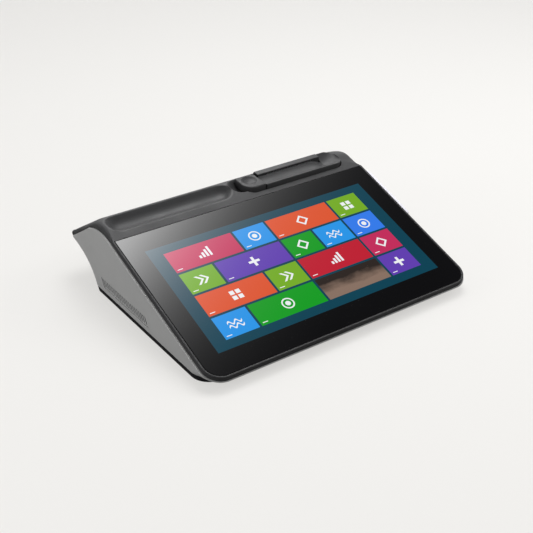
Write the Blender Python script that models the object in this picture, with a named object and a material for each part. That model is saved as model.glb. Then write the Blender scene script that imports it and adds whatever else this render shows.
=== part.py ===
"""Counter terminal with a sloped touch display and a built-in receipt printer.

All sizes are in metres, with +Z up and the feet on the floor. Places are first
worked out from the middle of the display's picture (X to the right, Y to the
back), and one root empty then carries everything so that the origin lies at
the bottom centre of the whole object.
"""
import math

import bmesh
import bpy
from mathutils import Matrix, Vector

# Fits that every piece shares
GAP = 0.0003               # left between pieces that touch
PART_LINE = 0.0006         # shadow line round the pieces that open or move
OVERRUN = 0.004            # how far a cutter passes the faces that it cuts
OVERLAP = 0.0008           # how deep joined shapes run into each other
WELD = 0.00001             # points closer than this are one point

# Overall form: a wedge with a crest, a rear slope and an overhanging tail
DECK_TILT = math.radians(19.5)
REAR_TILT = math.radians(31.0)
FOOT_RISE = 0.0015         # feet below the base plate
DISPLAY_HEIGHT = 0.0450    # glass plane above the floor at the picture's middle
CREST_Y = 0.1186           # where the deck and the rear slope would meet
CREST_RADIUS = 0.030
TAIL_Y = 0.187
UNDERCUT_BEND_Y = 0.143    # where the hollow under the tail bends
UNDERCUT_BEND_HEIGHT = 0.0335

# Display
GLASS_WIDTH = 0.295
GLASS_LENGTH = 0.182
GLASS_THICKNESS = 0.0018
GLASS_CORNER = 0.0155
GLASS_SINK = 0.0002        # glass below the rim
GLASS_MARGIN = 0.0004      # dark line round the glass
RIM_WIDTH = 0.0031
PANEL_WIDTH = 0.2680
PANEL_LENGTH = 0.1500
PANEL_THICKNESS = 0.0034
PANEL_SHIFT = -0.0030      # panel centre along the deck from the picture's middle
WINDOW_MARGIN = 0.0004
BRACKET_SHEET = 0.0010
BRACKET_RIM = 0.0040
STAKE_RADIUS = 0.0010     # pegs that hold the bracket and the board
STAKE_HEAD_RADIUS = 0.0018
STAKE_HEAD = 0.0008
STAKE_SHARE = 0.8          # outer pegs, of half the bracket's length

# Covers
COVER_WALL = 0.0024
COVER_SKIRT = 0.0046       # side of the top cover that shows
COVER_STEP = 0.0008        # top cover inside the housing's outline
RIM_ROUND = 0.0022         # edge round the glass
CREST_ROUND = 0.0060       # ends of the rear deck and the rear slope
HOUSING_WALL = 0.0024
HOUSING_BOTTOM = 0.0074    # housing's lower edge above the floor
BASE_FRONT_Y = -0.066
BASE_REAR_Y = 0.1335
BASE_REAR_SLOPE = 0.0030   # how far the base's rear leans in at the floor
BASE_INSET = 0.0006
BASE_WALL = 0.0022
BASE_CORNER = 0.022

# Finger trough in the rear deck and the well beside the button
TROUGH_RADIUS = 0.0155
TROUGH_Y = 0.1075
TROUGH_LIFT = 0.0074       # trough axis above the deck plane
TROUGH_LEFT_X = -0.1270    # centres of the round ends
TROUGH_RIGHT_X = -0.0190
TROUGH_WALL = 0.0022
WELL_RADIUS = 0.0140
WELL_Y = 0.1090
WELL_LIFT = 0.0050
WELL_X = 0.0090

# Feet, vents, button on the side
FOOT_RADIUS = 0.008
FOOT_SEAT_DEPTH = 0.0010
FOOT_SIDE_INSET = 0.022    # foot centre from the base's side
FOOT_FRONT_INSET = 0.020
FOOT_REAR_INSET = 0.018
VENT_FRONT_Y = 0.0245
VENT_LENGTH = 0.0920
VENT_LOW = 0.0118          # lower edge above the floor
VENT_HEIGHT = 0.0098
VENT_LEAN = 0.0045         # how far its ends lean to the rear
VENT_PANEL = 0.0016
VENT_RECESS = 0.0006
SLOT_COUNT = 22
SLOT_WIDTH = 0.0019
SLOT_MARGIN = 0.0012
POWER_Y = 0.118
POWER_HEIGHT = 0.036
POWER_RADIUS = 0.0048
POWER_STROKE = 0.0012
POWER_FLANGE = 0.0014      # flange behind the wall wider than the button
POWER_FLANGE_THICKNESS = 0.0012
POWER_PROUD = 0.0008
SWITCH_WALL = 0.0020

# Printer door, bezel and release button
BEZEL_FRONT_Y = 0.0935
BEZEL_LEFT_X = 0.0318
BEZEL_RIGHT_X = 0.1330
BEZEL_RISE = 0.0046        # front edge above the deck there
BEZEL_REAR_Y = 0.1120
BEZEL_END_REAR_Y = 0.1205
BEZEL_END_X = 0.1150       # right of here the bezel reaches round the door
BEZEL_WALL = 0.0022
BEZEL_DEPTH = 0.0080       # front wall's height
BEZEL_TIP = 0.0085         # corner radius of its right tip
SCOOP_RADIUS = 0.0168
SCOOP_Y = 0.1013
DOOR_LEFT_X = 0.0330
DOOR_RIGHT_X = 0.1130
DOOR_FRONT_Y = 0.1140
DOOR_LIP = 0.0030
DOOR_FRONT_RISE = 0.0019   # lip above the crest
DOOR_TOP_RISE = 0.0028
DOOR_TOP_Y = 0.1205
DOOR_WALL = 0.0024
DOOR_HINGE_Y = 0.1610      # on the rear slope, above the hinge
DOOR_HINGE_DEPTH = 0.0040
KNUCKLE_RADIUS = 0.0037
PIN_RADIUS = 0.0012
EAR_THICKNESS = 0.0030
EAR_START_SHARE = 0.5      # where the hinge ear's round side starts, of the rear tilt
BUTTON_LEFT_X = 0.0082
BUTTON_REAR_Y = 0.1200
BUTTON_FRONT_Y = 0.0945
BUTTON_CORNER = 0.0120
BUTTON_DEPTH = 0.0075
BUTTON_WALL = 0.0022
DIMPLE_RADIUS = 0.0083
DIMPLE_DEPTH = 0.0016
DIMPLE_Y = 0.1090
STEM_RADIUS = 0.0020
STEM_Y = 0.1010
SPRING_RADIUS = 0.0029
SPRING_WIRE = 0.00035
SPRING_TURNS = 6
DECK_OPENING_Y = 0.0920    # front edge of the printer opening

# Paper path
PLATEN_Y = 0.1179
PLATEN_HEIGHT = 0.0763
PLATEN_RADIUS = 0.0045
SHAFT_RADIUS = 0.0015
PAPER_X = 0.0730           # middle of the paper
PAPER_WIDTH = 0.0580
BAY_RADIUS = 0.0200
BAY_WALL = 0.0016
BAY_Y = 0.1230
BAY_HEIGHT = 0.0400
BAY_SIDE_PLAY = 0.0010
BAY_RIM = 0.0180           # straight side above the bay's axis
HEAD_THICKNESS = 0.0018
HEAD_HEIGHT = 0.0062
HEAD_DROP = 0.0050         # its lower edge below the platen's axis
SINK_THICKNESS = 0.0018
HEAD_SPRING_LENGTH = 0.0045
HEAD_SPRING_RADIUS = 0.0022
HEAD_BAR = 0.0020
TEAR_BLADE = 0.0005
TEAR_HEIGHT = 0.0030
TOOTH_PITCH = 0.0020
TOOTH_HEIGHT = 0.0008
CHEEK = 0.0020
CHEEK_PLAY = 0.0006        # cheek to the hangers and the bay
HANGER = 0.0020
BUSHING_RADIUS = 0.0032
BUSHING_LENGTH = 0.0026
FRAME_FRONT_Y = 0.0930
FRAME_FOOT_FRONT_Y = 0.0980
FRAME_FOOT_REAR_Y = 0.1270
FRAME_BAR = 0.0022
SHELF_HEIGHT = 0.0680
SHELF_THICKNESS = 0.0020
SHELF_MARGIN = 0.0018      # shelf round the spring

# Gears and feed motor
GEAR_MODULE = 0.0008
GEAR_FACE = 0.0036
TIP_SHARE = 0.85           # tooth above the pitch circle, of the module
FOOT_SHARE = 1.20          # and below it
TIP_TOOTH_SHARE = 0.11     # half a tooth's width at its tip, of the pitch
ROOT_TOOTH_SHARE = 0.29    # and at its root
PLATEN_TEETH = 14
IDLER_TEETH = 22
PINION_TEETH = 10
IDLER_TURN = math.radians(217.0)   # direction from the idler to the pinion
MOTOR_RADIUS = 0.0100
MOTOR_LENGTH = 0.0150
MOTOR_LUG = 0.0140
MOTOR_LUG_RADIUS = 0.0030
MOTOR_LUG_THICKNESS = 0.0010
POST_RADIUS = 0.0018

# Latch
LATCH_Y = 0.1130
LATCH_HEIGHT = 0.0500
LATCH_THICKNESS = 0.0028
LATCH_ARM = 0.0030
LATCH_NOSE = 0.0016
LATCH_BOSS = 0.0040
LATCH_BAR_LEFT_X = 0.0160

# Card reader on the right side
READER_DEPTH = 0.0165
READER_TOP = 0.0165        # below the glass plane
READER_HEIGHT = 0.0235
READER_FRONT_V = 0.0200
READER_LENGTH = 0.0750
CARD_SLOT = 0.0014
CARD_SLOT_DEPTH = 0.0180
CARD_WALL = 0.0034
READER_CORNER = 0.0030
READER_EDGE = 0.0012
HEAD_BLOCK_LENGTH = 0.0130
HEAD_BLOCK_HEIGHT = 0.0090
HEAD_BLOCK_DEPTH = 0.0050
HEAD_BLOCK_PROUD = 0.0004

# Computer and sockets
BOARD_LEFT_X = -0.1270
BOARD_RIGHT_X = 0.0230
BOARD_FRONT_Y = 0.0120
BOARD_REAR_Y = 0.1160
BOARD_HEIGHT = 0.0150
BOARD_THICKNESS = 0.0016
BOARD_HOLE_INSET = 0.0060
STANDOFF_RADIUS = 0.0030
SCREW_RADIUS = 0.0014
SCREW_HEAD_RADIUS = 0.0027
SCREW_HEAD = 0.0016
SCREW_GRIP = 0.0040
SOCKET_PANEL_Y = 0.1220
SOCKET_PANEL = 0.0010
RECESS_LEFT_X = -0.1190
RECESS_RIGHT_X = 0.0150
RECESS_LOW = 0.0125
RECESS_HEIGHT = 0.0200
RECESS_WALL = 0.0020
SOCKET_REAR_Y = 0.1236
SOCKET_WALL = 0.0009

# Counts that set how round the shapes are
ROUND = 32
SMALL_ROUND = 16
CORNER_STEPS = 8
ARC_STEPS = 12
EDGE_STEPS = 2


# Worked-out places
HALF_WIDTH = GLASS_WIDTH / 2 + GLASS_MARGIN + RIM_WIDTH
NOSE_V = -(GLASS_LENGTH / 2 + GLASS_MARGIN + RIM_WIDTH)
FRAME_CORNER = GLASS_CORNER + GLASS_MARGIN + RIM_WIDTH
BEYOND_NOSE_V = NOSE_V * 2                    # well in front of the case and well behind it
BEYOND_TAIL_Y = TAIL_Y * 2
HOUSING_TOP = COVER_SKIRT + GAP
BASE_HALF_WIDTH = HALF_WIDTH - BASE_INSET
BASE_FLOOR = FOOT_RISE + BASE_WALL
NOSE_Y = ((NOSE_V + COVER_STEP + RIM_ROUND) * math.cos(DECK_TILT) + RIM_ROUND * math.sin(DECK_TILT)
          - RIM_ROUND)

SHIFT = Vector((-READER_DEPTH / 2, -(NOSE_Y + TAIL_Y) / 2, 0.0))

BRACKET_WIDTH = PANEL_WIDTH + 2 * (BRACKET_RIM + WINDOW_MARGIN)
BRACKET_LENGTH = PANEL_LENGTH + 2 * (BRACKET_RIM + WINDOW_MARGIN)

# Directions in which a flat outline is drawn and then thickened
ALONG_X = Matrix(((0, 0, 1), (1, 0, 0), (0, 1, 0))).to_4x4()    # outline in Y, Z
ALONG_Z = Matrix.Identity(4)                                    # outline in X, Y
ON_DECK = Matrix.Translation((0, 0, DISPLAY_HEIGHT)) @ Matrix.Rotation(DECK_TILT, 4, "X")

FINISHES = {
    "charcoal": ((0.045, 0.045, 0.047), 0.46, 0.0),
    "grey": ((0.235, 0.238, 0.236), 0.50, 0.0),
    "black": ((0.012, 0.012, 0.013), 0.55, 0.0),
    "glass": ((0.006, 0.006, 0.007), 0.06, 0.0),
    "panel": ((0.004, 0.085, 0.130), 0.30, 0.0),
    "rubber": ((0.020, 0.020, 0.021), 0.85, 0.0),
    "steel": ((0.560, 0.560, 0.550), 0.30, 1.0),
    "brass": ((0.680, 0.500, 0.230), 0.30, 1.0),
    "aluminium": ((0.720, 0.730, 0.740), 0.35, 1.0),
    "nylon": ((0.700, 0.690, 0.650), 0.50, 0.0),
    "board": ((0.010, 0.110, 0.050), 0.45, 0.0),
    "chip": ((0.020, 0.020, 0.022), 0.50, 0.0),
}

parts = bpy.data.collections.new("counter_terminal")
cutters = bpy.data.collections.new("cutters")
root = bpy.data.objects.new("origin", None)


def clear_scene():
    """Remove what a new file holds, and link the two collections."""
    for thing in list(bpy.data.objects):
        if thing != root:
            bpy.data.objects.remove(thing)
    for collection in (parts, cutters):
        bpy.context.scene.collection.children.link(collection)
    parts.objects.link(root)
    root.location = SHIFT


# Outlines


def deck_line(v, w):
    """Y and Z of a point v up the deck and w above the glass plane."""
    return (v * math.cos(DECK_TILT) - w * math.sin(DECK_TILT),
            DISPLAY_HEIGHT + v * math.sin(DECK_TILT) + w * math.cos(DECK_TILT))


def deck_height(y):
    """Height of the glass plane over a place y."""
    return DISPLAY_HEIGHT + y * math.tan(DECK_TILT)


def arc(centre, radius, start, end, steps):
    """Points on a round stretch between two angles."""
    angles = [start + (end - start) * step / steps for step in range(steps + 1)]
    return [(centre[0] + radius * math.cos(a), centre[1] + radius * math.sin(a)) for a in angles]


def crest_centre():
    """Centre of the arc that touches both the deck and the rear slope."""
    corner = Vector((CREST_Y, deck_height(CREST_Y)))
    deck_down = Vector((math.sin(DECK_TILT), -math.cos(DECK_TILT)))
    rear_down = Vector((-math.sin(REAR_TILT), -math.cos(REAR_TILT)))
    return corner + (deck_down + rear_down) * CREST_RADIUS / (1 + deck_down.dot(rear_down))


CREST = crest_centre()
CREST_TOP = CREST[1] + CREST_RADIUS


def rear_line(y, inset):
    """Y and Z of the rear slope over y, moved inwards at right angles to it."""
    z = deck_height(CREST_Y) - (y - CREST_Y) * math.tan(REAR_TILT)
    return (y - inset * math.sin(REAR_TILT), z - inset * math.cos(REAR_TILT))


def cover_line(inset, front_v, rear_y):
    """The deck, crest and rear slope from front to back, moved inwards by inset."""
    crest = arc(CREST, CREST_RADIUS - inset, math.pi / 2 + DECK_TILT, math.pi / 2 - REAR_TILT,
                ARC_STEPS)
    return [deck_line(front_v, -inset)] + crest + [rear_line(rear_y, inset)]


def undercut_line(inset):
    """The hollow curve from the base's rear edge up to the tail, moved inwards."""
    start = Vector((BASE_REAR_Y, HOUSING_BOTTOM))
    bend = Vector((UNDERCUT_BEND_Y, UNDERCUT_BEND_HEIGHT))
    end = Vector(rear_line(TAIL_Y, HOUSING_TOP))
    line = []
    for step in range(ARC_STEPS + 1):
        t = step / ARC_STEPS
        point = start * (1 - t) ** 2 + bend * 2 * t * (1 - t) + end * t ** 2
        along = (bend - start) * (1 - t) + (end - bend) * t
        inwards = Vector((-along[1], along[0])).normalized()
        line.append(tuple(point + inwards * inset))
    return line


def rounded(low_x, high_x, low_y, high_y, front_left, front_right, rear_right=0.0, rear_left=0.0):
    """A rectangle whose four corners may each be round."""
    outline = []
    corners = ((low_x, low_y, 1, 1, front_left, math.pi), (high_x, low_y, -1, 1, front_right, -math.pi / 2),
               (high_x, high_y, -1, -1, rear_right, 0.0), (low_x, high_y, 1, -1, rear_left, math.pi / 2))
    for x, y, side, up, radius, start in corners:
        if radius > 0:
            outline += arc((x + side * radius, y + up * radius), radius, start, start + math.pi / 2,
                           CORNER_STEPS)
        else:
            outline.append((x, y))
    return outline


def circle(centre, radius, steps):
    """A closed ring of points."""
    return arc(centre, radius, 0.0, 2 * math.pi, steps)[:-1]


# Solids


def finish_of(name, finish):
    """A Principled material for one piece."""
    colour, roughness, metallic = FINISHES[finish]
    material = bpy.data.materials.new(name + "_finish")
    material.use_nodes = True
    shader = material.node_tree.nodes["Principled BSDF"]
    shader.inputs["Base Color"].default_value = (*colour, 1.0)
    shader.inputs["Roughness"].default_value = roughness
    shader.inputs["Metallic"].default_value = metallic
    material.diffuse_color = (*colour, 1.0)
    return material


def place(name, mesh, finish):
    """Make an object of a mesh: a named part, or a cutter when it has no finish."""
    thing = bpy.data.objects.new(name, mesh)
    thing.parent = root
    if finish:
        parts.objects.link(thing)
        mesh.materials.append(finish_of(name, finish))
    else:
        cutters.objects.link(thing)
        thing.hide_render = True
        thing.display_type = "WIRE"
    return thing


def outline_solid(name, loops, low, high, plane, finish=None, edge=0.0):
    """Thicken a flat outline, whose later loops are holes, from low to high.

    With an edge, both flat faces are rounded off by that radius.
    """
    curve = bpy.data.curves.new(name, "CURVE")
    curve.dimensions = "2D"
    curve.fill_mode = "BOTH"
    curve.extrude = (high - low) / 2 - edge
    curve.bevel_depth = edge
    curve.bevel_resolution = EDGE_STEPS
    curve.offset = -edge
    for loop in loops:
        spline = curve.splines.new("POLY")
        spline.points.add(len(loop) - 1)
        for point, (a, b) in zip(spline.points, loop):
            point.co = (a, b, 0.0, 1.0)
        spline.use_cyclic_u = True
    drawn = bpy.data.objects.new(name + "_outline", curve)
    cutters.objects.link(drawn)
    bpy.context.view_layer.update()
    mesh = bpy.data.meshes.new_from_object(drawn.evaluated_get(bpy.context.evaluated_depsgraph_get()))
    bpy.data.objects.remove(drawn)
    bpy.data.curves.remove(curve)
    shape = bmesh.new()
    shape.from_mesh(mesh)
    bmesh.ops.remove_doubles(shape, verts=shape.verts, dist=WELD)
    bmesh.ops.recalc_face_normals(shape, faces=shape.faces)
    shape.to_mesh(mesh)
    shape.free()
    mesh.name = name
    mesh.materials.clear()
    mesh.transform(plane @ Matrix.Translation((0, 0, (low + high) / 2)))
    return place(name, mesh, finish)


def profile_solid(name, outline, low_x, high_x, finish=None, edge=0.0):
    """A side profile carried along X."""
    return outline_solid(name, [outline], low_x, high_x, ALONG_X, finish, edge)


def block(name, low, high, finish=None, matrix=None):
    """A box between two corners, turned by a matrix when one is given."""
    size = Vector(high) - Vector(low)
    centre = (Vector(high) + Vector(low)) / 2
    shape = bmesh.new()
    bmesh.ops.create_cube(shape, size=1.0, matrix=Matrix.Translation(centre) @ Matrix.Diagonal((*size, 1.0)))
    mesh = bpy.data.meshes.new(name)
    shape.to_mesh(mesh)
    shape.free()
    if matrix:
        mesh.transform(matrix)
    return place(name, mesh, finish)


def rod(name, radius, start, end, finish=None, steps=SMALL_ROUND):
    """A round bar between two points."""
    start, end = Vector(start), Vector(end)
    along = end - start
    turn = along.to_track_quat("Z", "X").to_matrix().to_4x4()
    shape = bmesh.new()
    bmesh.ops.create_cone(shape, cap_ends=True, segments=steps, radius1=radius, radius2=radius,
                          depth=along.length, matrix=Matrix.Translation((start + end) / 2) @ turn)
    mesh = bpy.data.meshes.new(name)
    shape.to_mesh(mesh)
    shape.free()
    smooth(mesh)
    return place(name, mesh, finish)


def ball(name, radius, centre, finish=None):
    """A sphere."""
    shape = bmesh.new()
    bmesh.ops.create_uvsphere(shape, u_segments=ROUND, v_segments=SMALL_ROUND, radius=radius,
                              matrix=Matrix.Translation(centre) @ Matrix.Rotation(math.pi / 2, 4, "Y"))
    mesh = bpy.data.meshes.new(name)
    shape.to_mesh(mesh)
    shape.free()
    smooth(mesh)
    return place(name, mesh, finish)


def smooth(mesh):
    """Shade round faces smooth and keep real edges sharp."""
    mesh.shade_smooth()
    mesh.set_sharp_from_angle(angle=math.radians(40))


def boolean(target, other, operation):
    """Cut, join or intersect with the exact solver."""
    step = target.modifiers.new(other.name, "BOOLEAN")
    step.operation = operation
    step.solver = "EXACT"
    step.object = other
    return target


def cut(target, *others):
    for other in others:
        boolean(target, other, "DIFFERENCE")
    return target


def join(target, *others):
    for other in others:
        boolean(target, other, "UNION")
    return target


def common(target, *others):
    for other in others:
        boolean(target, other, "INTERSECT")
    return target


def hang(thing, pivot):
    """Move a piece's origin onto its joint, with its shape left where it is."""
    thing.data.transform(Matrix.Translation(-Vector(pivot)))
    thing.location = pivot
    return thing


def coil(name, radius, wire, turns, start, end, finish):
    """A helical spring between two points, as one closed tube."""
    start, end = Vector(start), Vector(end)
    turn = (end - start).to_track_quat("Z", "X").to_matrix().to_4x4()
    height = (end - start).length - 2 * wire
    curve = bpy.data.curves.new(name, "CURVE")
    curve.dimensions = "3D"
    curve.bevel_depth = wire
    curve.bevel_resolution = 1
    curve.use_fill_caps = True
    count = turns * 10 + 1
    spline = curve.splines.new("POLY")
    spline.points.add(count - 1)
    for index, point in enumerate(spline.points):
        share = index / (count - 1)
        angle = 2 * math.pi * turns * share
        point.co = (radius * math.cos(angle), radius * math.sin(angle), wire + height * share, 1.0)
    drawn = bpy.data.objects.new(name + "_path", curve)
    cutters.objects.link(drawn)
    bpy.context.view_layer.update()
    mesh = bpy.data.meshes.new_from_object(drawn.evaluated_get(bpy.context.evaluated_depsgraph_get()))
    bpy.data.objects.remove(drawn)
    bpy.data.curves.remove(curve)
    shape = bmesh.new()
    shape.from_mesh(mesh)
    bmesh.ops.remove_doubles(shape, verts=shape.verts, dist=WELD)
    bmesh.ops.recalc_face_normals(shape, faces=shape.faces)
    shape.to_mesh(mesh)
    shape.free()
    mesh.name = name
    mesh.materials.clear()
    mesh.transform(Matrix.Translation(start) @ turn)
    smooth(mesh)
    return place(name, mesh, finish)


# Case


def case_plan(name, inset, top, edge=0.0):
    """Block with the terminal's outline seen square to the glass, up to a height over it."""
    outline = rounded(-HALF_WIDTH + inset, HALF_WIDTH - inset, NOSE_V + inset, BEYOND_TAIL_Y,
                      FRAME_CORNER - inset, FRAME_CORNER - inset)
    return outline_solid(name, [outline], -TAIL_Y, top, ON_DECK, edge=edge)


def rounded_ends():
    """Block that rounds the left and right ends of the rear deck and the rear slope."""
    outside = cover_line(0.0, BEYOND_NOSE_V, BEYOND_TAIL_Y)
    half = HALF_WIDTH - COVER_STEP
    below = [(BEYOND_TAIL_Y, -TAIL_Y), (BEYOND_NOSE_V, -TAIL_Y)]
    ends = profile_solid("rounded_ends", outside + below, -half, half, edge=CREST_ROUND)
    beside_glass = block("beside_glass", (-HALF_WIDTH, BEYOND_NOSE_V, -TAIL_Y),
                         (HALF_WIDTH, GLASS_LENGTH / 2 + GLASS_MARGIN, TAIL_Y), matrix=ON_DECK)
    return join(ends, beside_glass)


def printer_opening(name, low, high):
    """Hole in the deck and rear slope for the button, the bezel and the door."""
    outline = rounded(BUTTON_LEFT_X - PART_LINE, BEZEL_RIGHT_X + PART_LINE, DECK_OPENING_Y,
                      BEZEL_END_REAR_Y + PART_LINE, BUTTON_CORNER, BEZEL_TIP + PART_LINE, BEZEL_TIP)
    rear = door_hinge()[0] + KNUCKLE_RADIUS + PART_LINE * 2
    wide = outline_solid(name, [outline], low, high, ALONG_Z)
    tall = block(name + "_door", (DOOR_LEFT_X - PART_LINE, BEZEL_REAR_Y, low),
                 (DOOR_RIGHT_X + PART_LINE, rear, high))
    return join(wide, tall)


def door_hinge():
    """Y and Z of the door's hinge, under the rear slope."""
    return rear_line(DOOR_HINGE_Y, DOOR_HINGE_DEPTH)


def scoop(name, radius, y, lift, left_x, right_x):
    """A round groove with ball ends, its axis lift above the deck plane."""
    height = deck_height(y) + lift
    groove = rod(name, radius, (left_x, y, height), (right_x, y, height), steps=ROUND)
    return join(groove, ball(name + "_left", radius, (left_x, y, height)),
                ball(name + "_right", radius, (right_x, y, height)))


def top_cover():
    """Charcoal moulding: frame round the glass, rear deck and rear slope."""
    outside = cover_line(0.0, NOSE_V - OVERRUN, TAIL_Y)
    inside = cover_line(COVER_SKIRT, NOSE_V - OVERRUN, TAIL_Y)
    cover = profile_solid("top_cover", outside + inside[::-1], -HALF_WIDTH - OVERRUN,
                          HALF_WIDTH + OVERRUN, "charcoal")
    common(cover, case_plan("cover_plan", COVER_STEP, 0.0, RIM_ROUND), rounded_ends())

    behind_glass = GLASS_LENGTH / 2 + RIM_WIDTH
    pocket_line = cover_line(COVER_WALL, behind_glass, TAIL_Y - COVER_WALL)
    below_line = cover_line(COVER_SKIRT + OVERRUN, behind_glass, TAIL_Y - COVER_WALL)
    pocket = profile_solid("cover_pocket", pocket_line + below_line[::-1],
                           -HALF_WIDTH + COVER_STEP + CREST_ROUND, HALF_WIDTH - COVER_STEP - CREST_ROUND)
    cut(cover, pocket)

    half_skin = cover_line(COVER_WALL / 2, -TAIL_Y, BEYOND_TAIL_Y)
    under_skin = profile_solid("under_skin", half_skin + [(BEYOND_TAIL_Y, -TAIL_Y), (-TAIL_Y, -TAIL_Y)],
                               -HALF_WIDTH, HALF_WIDTH)
    shells = join(scoop("trough_shell", TROUGH_RADIUS + TROUGH_WALL, TROUGH_Y, TROUGH_LIFT,
                        TROUGH_LEFT_X, TROUGH_RIGHT_X),
                  scoop("well_shell", WELL_RADIUS + TROUGH_WALL, WELL_Y, WELL_LIFT, WELL_X,
                        WELL_X + OVERRUN))
    common(shells, under_skin)
    join(cover, shells)
    cut(cover, scoop("trough_cut", TROUGH_RADIUS, TROUGH_Y, TROUGH_LIFT, TROUGH_LEFT_X, TROUGH_RIGHT_X),
        scoop("well_cut", WELL_RADIUS, WELL_Y, WELL_LIFT, WELL_X, WELL_X + OVERRUN))

    glass_seat = GLASS_SINK + GLASS_THICKNESS + GAP
    seat = outline_solid("glass_seat", [glass_outline(GLASS_MARGIN)], -glass_seat, OVERRUN, ON_DECK)
    half_width, half_length = PANEL_WIDTH / 2 + WINDOW_MARGIN, PANEL_LENGTH / 2 + WINDOW_MARGIN
    window = block("panel_window", (-half_width, PANEL_SHIFT - half_length, -TAIL_Y),
                   (half_width, PANEL_SHIFT + half_length, TAIL_Y), matrix=ON_DECK)
    cut(cover, seat, window)
    cut(cover, printer_opening("printer_hole", door_hinge()[1] - DOOR_HINGE_DEPTH, TAIL_Y))

    hinge_y, hinge_height = door_hinge()
    for side, x in (("left", DOOR_LEFT_X - PART_LINE - EAR_THICKNESS), ("right", DOOR_RIGHT_X + PART_LINE)):
        ear = profile_solid("hinge_ear_" + side, ear_outline(), x, x + EAR_THICKNESS)
        join(cover, ear)
    pin_hole = rod("hinge_pin_hole", PIN_RADIUS + GAP,
                   (DOOR_LEFT_X - EAR_THICKNESS * 2, hinge_y, hinge_height),
                   (DOOR_RIGHT_X + EAR_THICKNESS * 2, hinge_y, hinge_height))
    cut(cover, pin_hole)
    head_top = panel_back() - GAP - BRACKET_SHEET - GAP
    for index, spot in enumerate(stake_spots()):
        join(cover, deck_rod("stake_%d" % index, STAKE_RADIUS, spot, head_top - OVERLAP / 2,
                             -COVER_SKIRT + OVERLAP / 2),
             deck_rod("stake_head_%d" % index, STAKE_HEAD_RADIUS, spot, head_top - STAKE_HEAD, head_top))
    return cover


def ear_outline():
    """Ear under the rear slope that holds one end of the door's hinge pin."""
    hinge_y, hinge_height = door_hinge()
    ring = arc((hinge_y, hinge_height), KNUCKLE_RADIUS, math.pi - REAR_TILT * EAR_START_SHARE, 2 * math.pi,
               SMALL_ROUND)
    rear = rear_line(hinge_y + KNUCKLE_RADIUS, COVER_WALL / 2)
    front = rear_line(hinge_y - KNUCKLE_RADIUS, COVER_WALL / 2)
    return [front] + ring + [rear]


def glass_outline(margin):
    """The glass seen square on: round corners at the front only."""
    return rounded(-GLASS_WIDTH / 2 - margin, GLASS_WIDTH / 2 + margin, -GLASS_LENGTH / 2 - margin,
                   GLASS_LENGTH / 2 + margin, GLASS_CORNER + margin, GLASS_CORNER + margin)


def touch_glass():
    top = -GLASS_SINK
    outline_solid("touch_glass", [glass_outline(0.0)], top - GLASS_THICKNESS, top, ON_DECK, "glass")


def panel_back():
    """Back of the display panel, measured from the glass plane."""
    return -GLASS_SINK - GLASS_THICKNESS - GAP - PANEL_THICKNESS


def lcd_panel():
    block("lcd_panel", (-PANEL_WIDTH / 2, PANEL_SHIFT - PANEL_LENGTH / 2, panel_back()),
          (PANEL_WIDTH / 2, PANEL_SHIFT + PANEL_LENGTH / 2, panel_back() + PANEL_THICKNESS),
          "panel", ON_DECK)


def stake_spots():
    """Six places round the display bracket's rim, in the deck plane."""
    x = BRACKET_WIDTH / 2 - BRACKET_RIM / 2
    y = BRACKET_LENGTH / 2 - BRACKET_RIM / 2
    return [(side * x, PANEL_SHIFT + up * y * STAKE_SHARE) for side in (-1, 1) for up in (-1, 0, 1)]


def deck_rod(name, radius, spot, low, high):
    """A round bar square to the glass, between two heights over its plane."""
    return rod(name, radius, ON_DECK @ Vector((*spot, low)), ON_DECK @ Vector((*spot, high)),
               steps=SMALL_ROUND // 2)


def display_bracket():
    """Sheet tray that holds the panel up against the glass, staked to the cover."""
    top = -COVER_SKIRT - GAP
    bottom = panel_back() - GAP - BRACKET_SHEET
    low_v, high_v = PANEL_SHIFT - BRACKET_LENGTH / 2, PANEL_SHIFT + BRACKET_LENGTH / 2
    tray = block("display_bracket", (-BRACKET_WIDTH / 2, low_v, bottom), (BRACKET_WIDTH / 2, high_v, top),
                 "steel", ON_DECK)
    inside = block("bracket_inside", (-BRACKET_WIDTH / 2 + BRACKET_RIM, low_v + BRACKET_RIM,
                                      bottom + BRACKET_SHEET),
                   (BRACKET_WIDTH / 2 - BRACKET_RIM, high_v - BRACKET_RIM, OVERRUN), matrix=ON_DECK)
    cut(tray, inside)
    for index, spot in enumerate(stake_spots()):
        cut(tray, deck_rod("tray_hole_%d" % index, STAKE_RADIUS + GAP, spot, bottom - OVERRUN, OVERRUN))
    return tray


def housing_profile(bottom_inset):
    """Side profile of the housing between the base plate and the top cover."""
    top = cover_line(HOUSING_TOP, NOSE_V - OVERRUN, TAIL_Y)
    return [(NOSE_Y - OVERRUN, HOUSING_BOTTOM + bottom_inset)] + undercut_line(0.0) + top[::-1]


def housing_inside():
    """The hollow above the housing's floor, open at the top."""
    floor = HOUSING_BOTTOM + HOUSING_WALL
    rear_end = rear_line(TAIL_Y - HOUSING_WALL * 2, HOUSING_TOP)[0]
    rear = [point for point in undercut_line(HOUSING_WALL) if floor < point[1] and point[0] < rear_end]
    top = cover_line(HOUSING_TOP - OVERRUN, NOSE_V, TAIL_Y - HOUSING_WALL * 2)
    outline = [(NOSE_Y - OVERRUN, floor), (rear[0][0], floor)] + rear + top[::-1]
    hollow = profile_solid("housing_hollow", outline, -HALF_WIDTH, HALF_WIDTH)
    return common(hollow, case_plan("housing_hollow_plan", HOUSING_WALL, TAIL_Y))


def base_plan(inset):
    """The base plate seen from above, with round corners at the front."""
    return rounded(-BASE_HALF_WIDTH + inset, BASE_HALF_WIDTH - inset, BASE_FRONT_Y + inset,
                   BASE_REAR_Y - BASE_REAR_SLOPE - inset, BASE_CORNER - inset, BASE_CORNER - inset)


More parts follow.
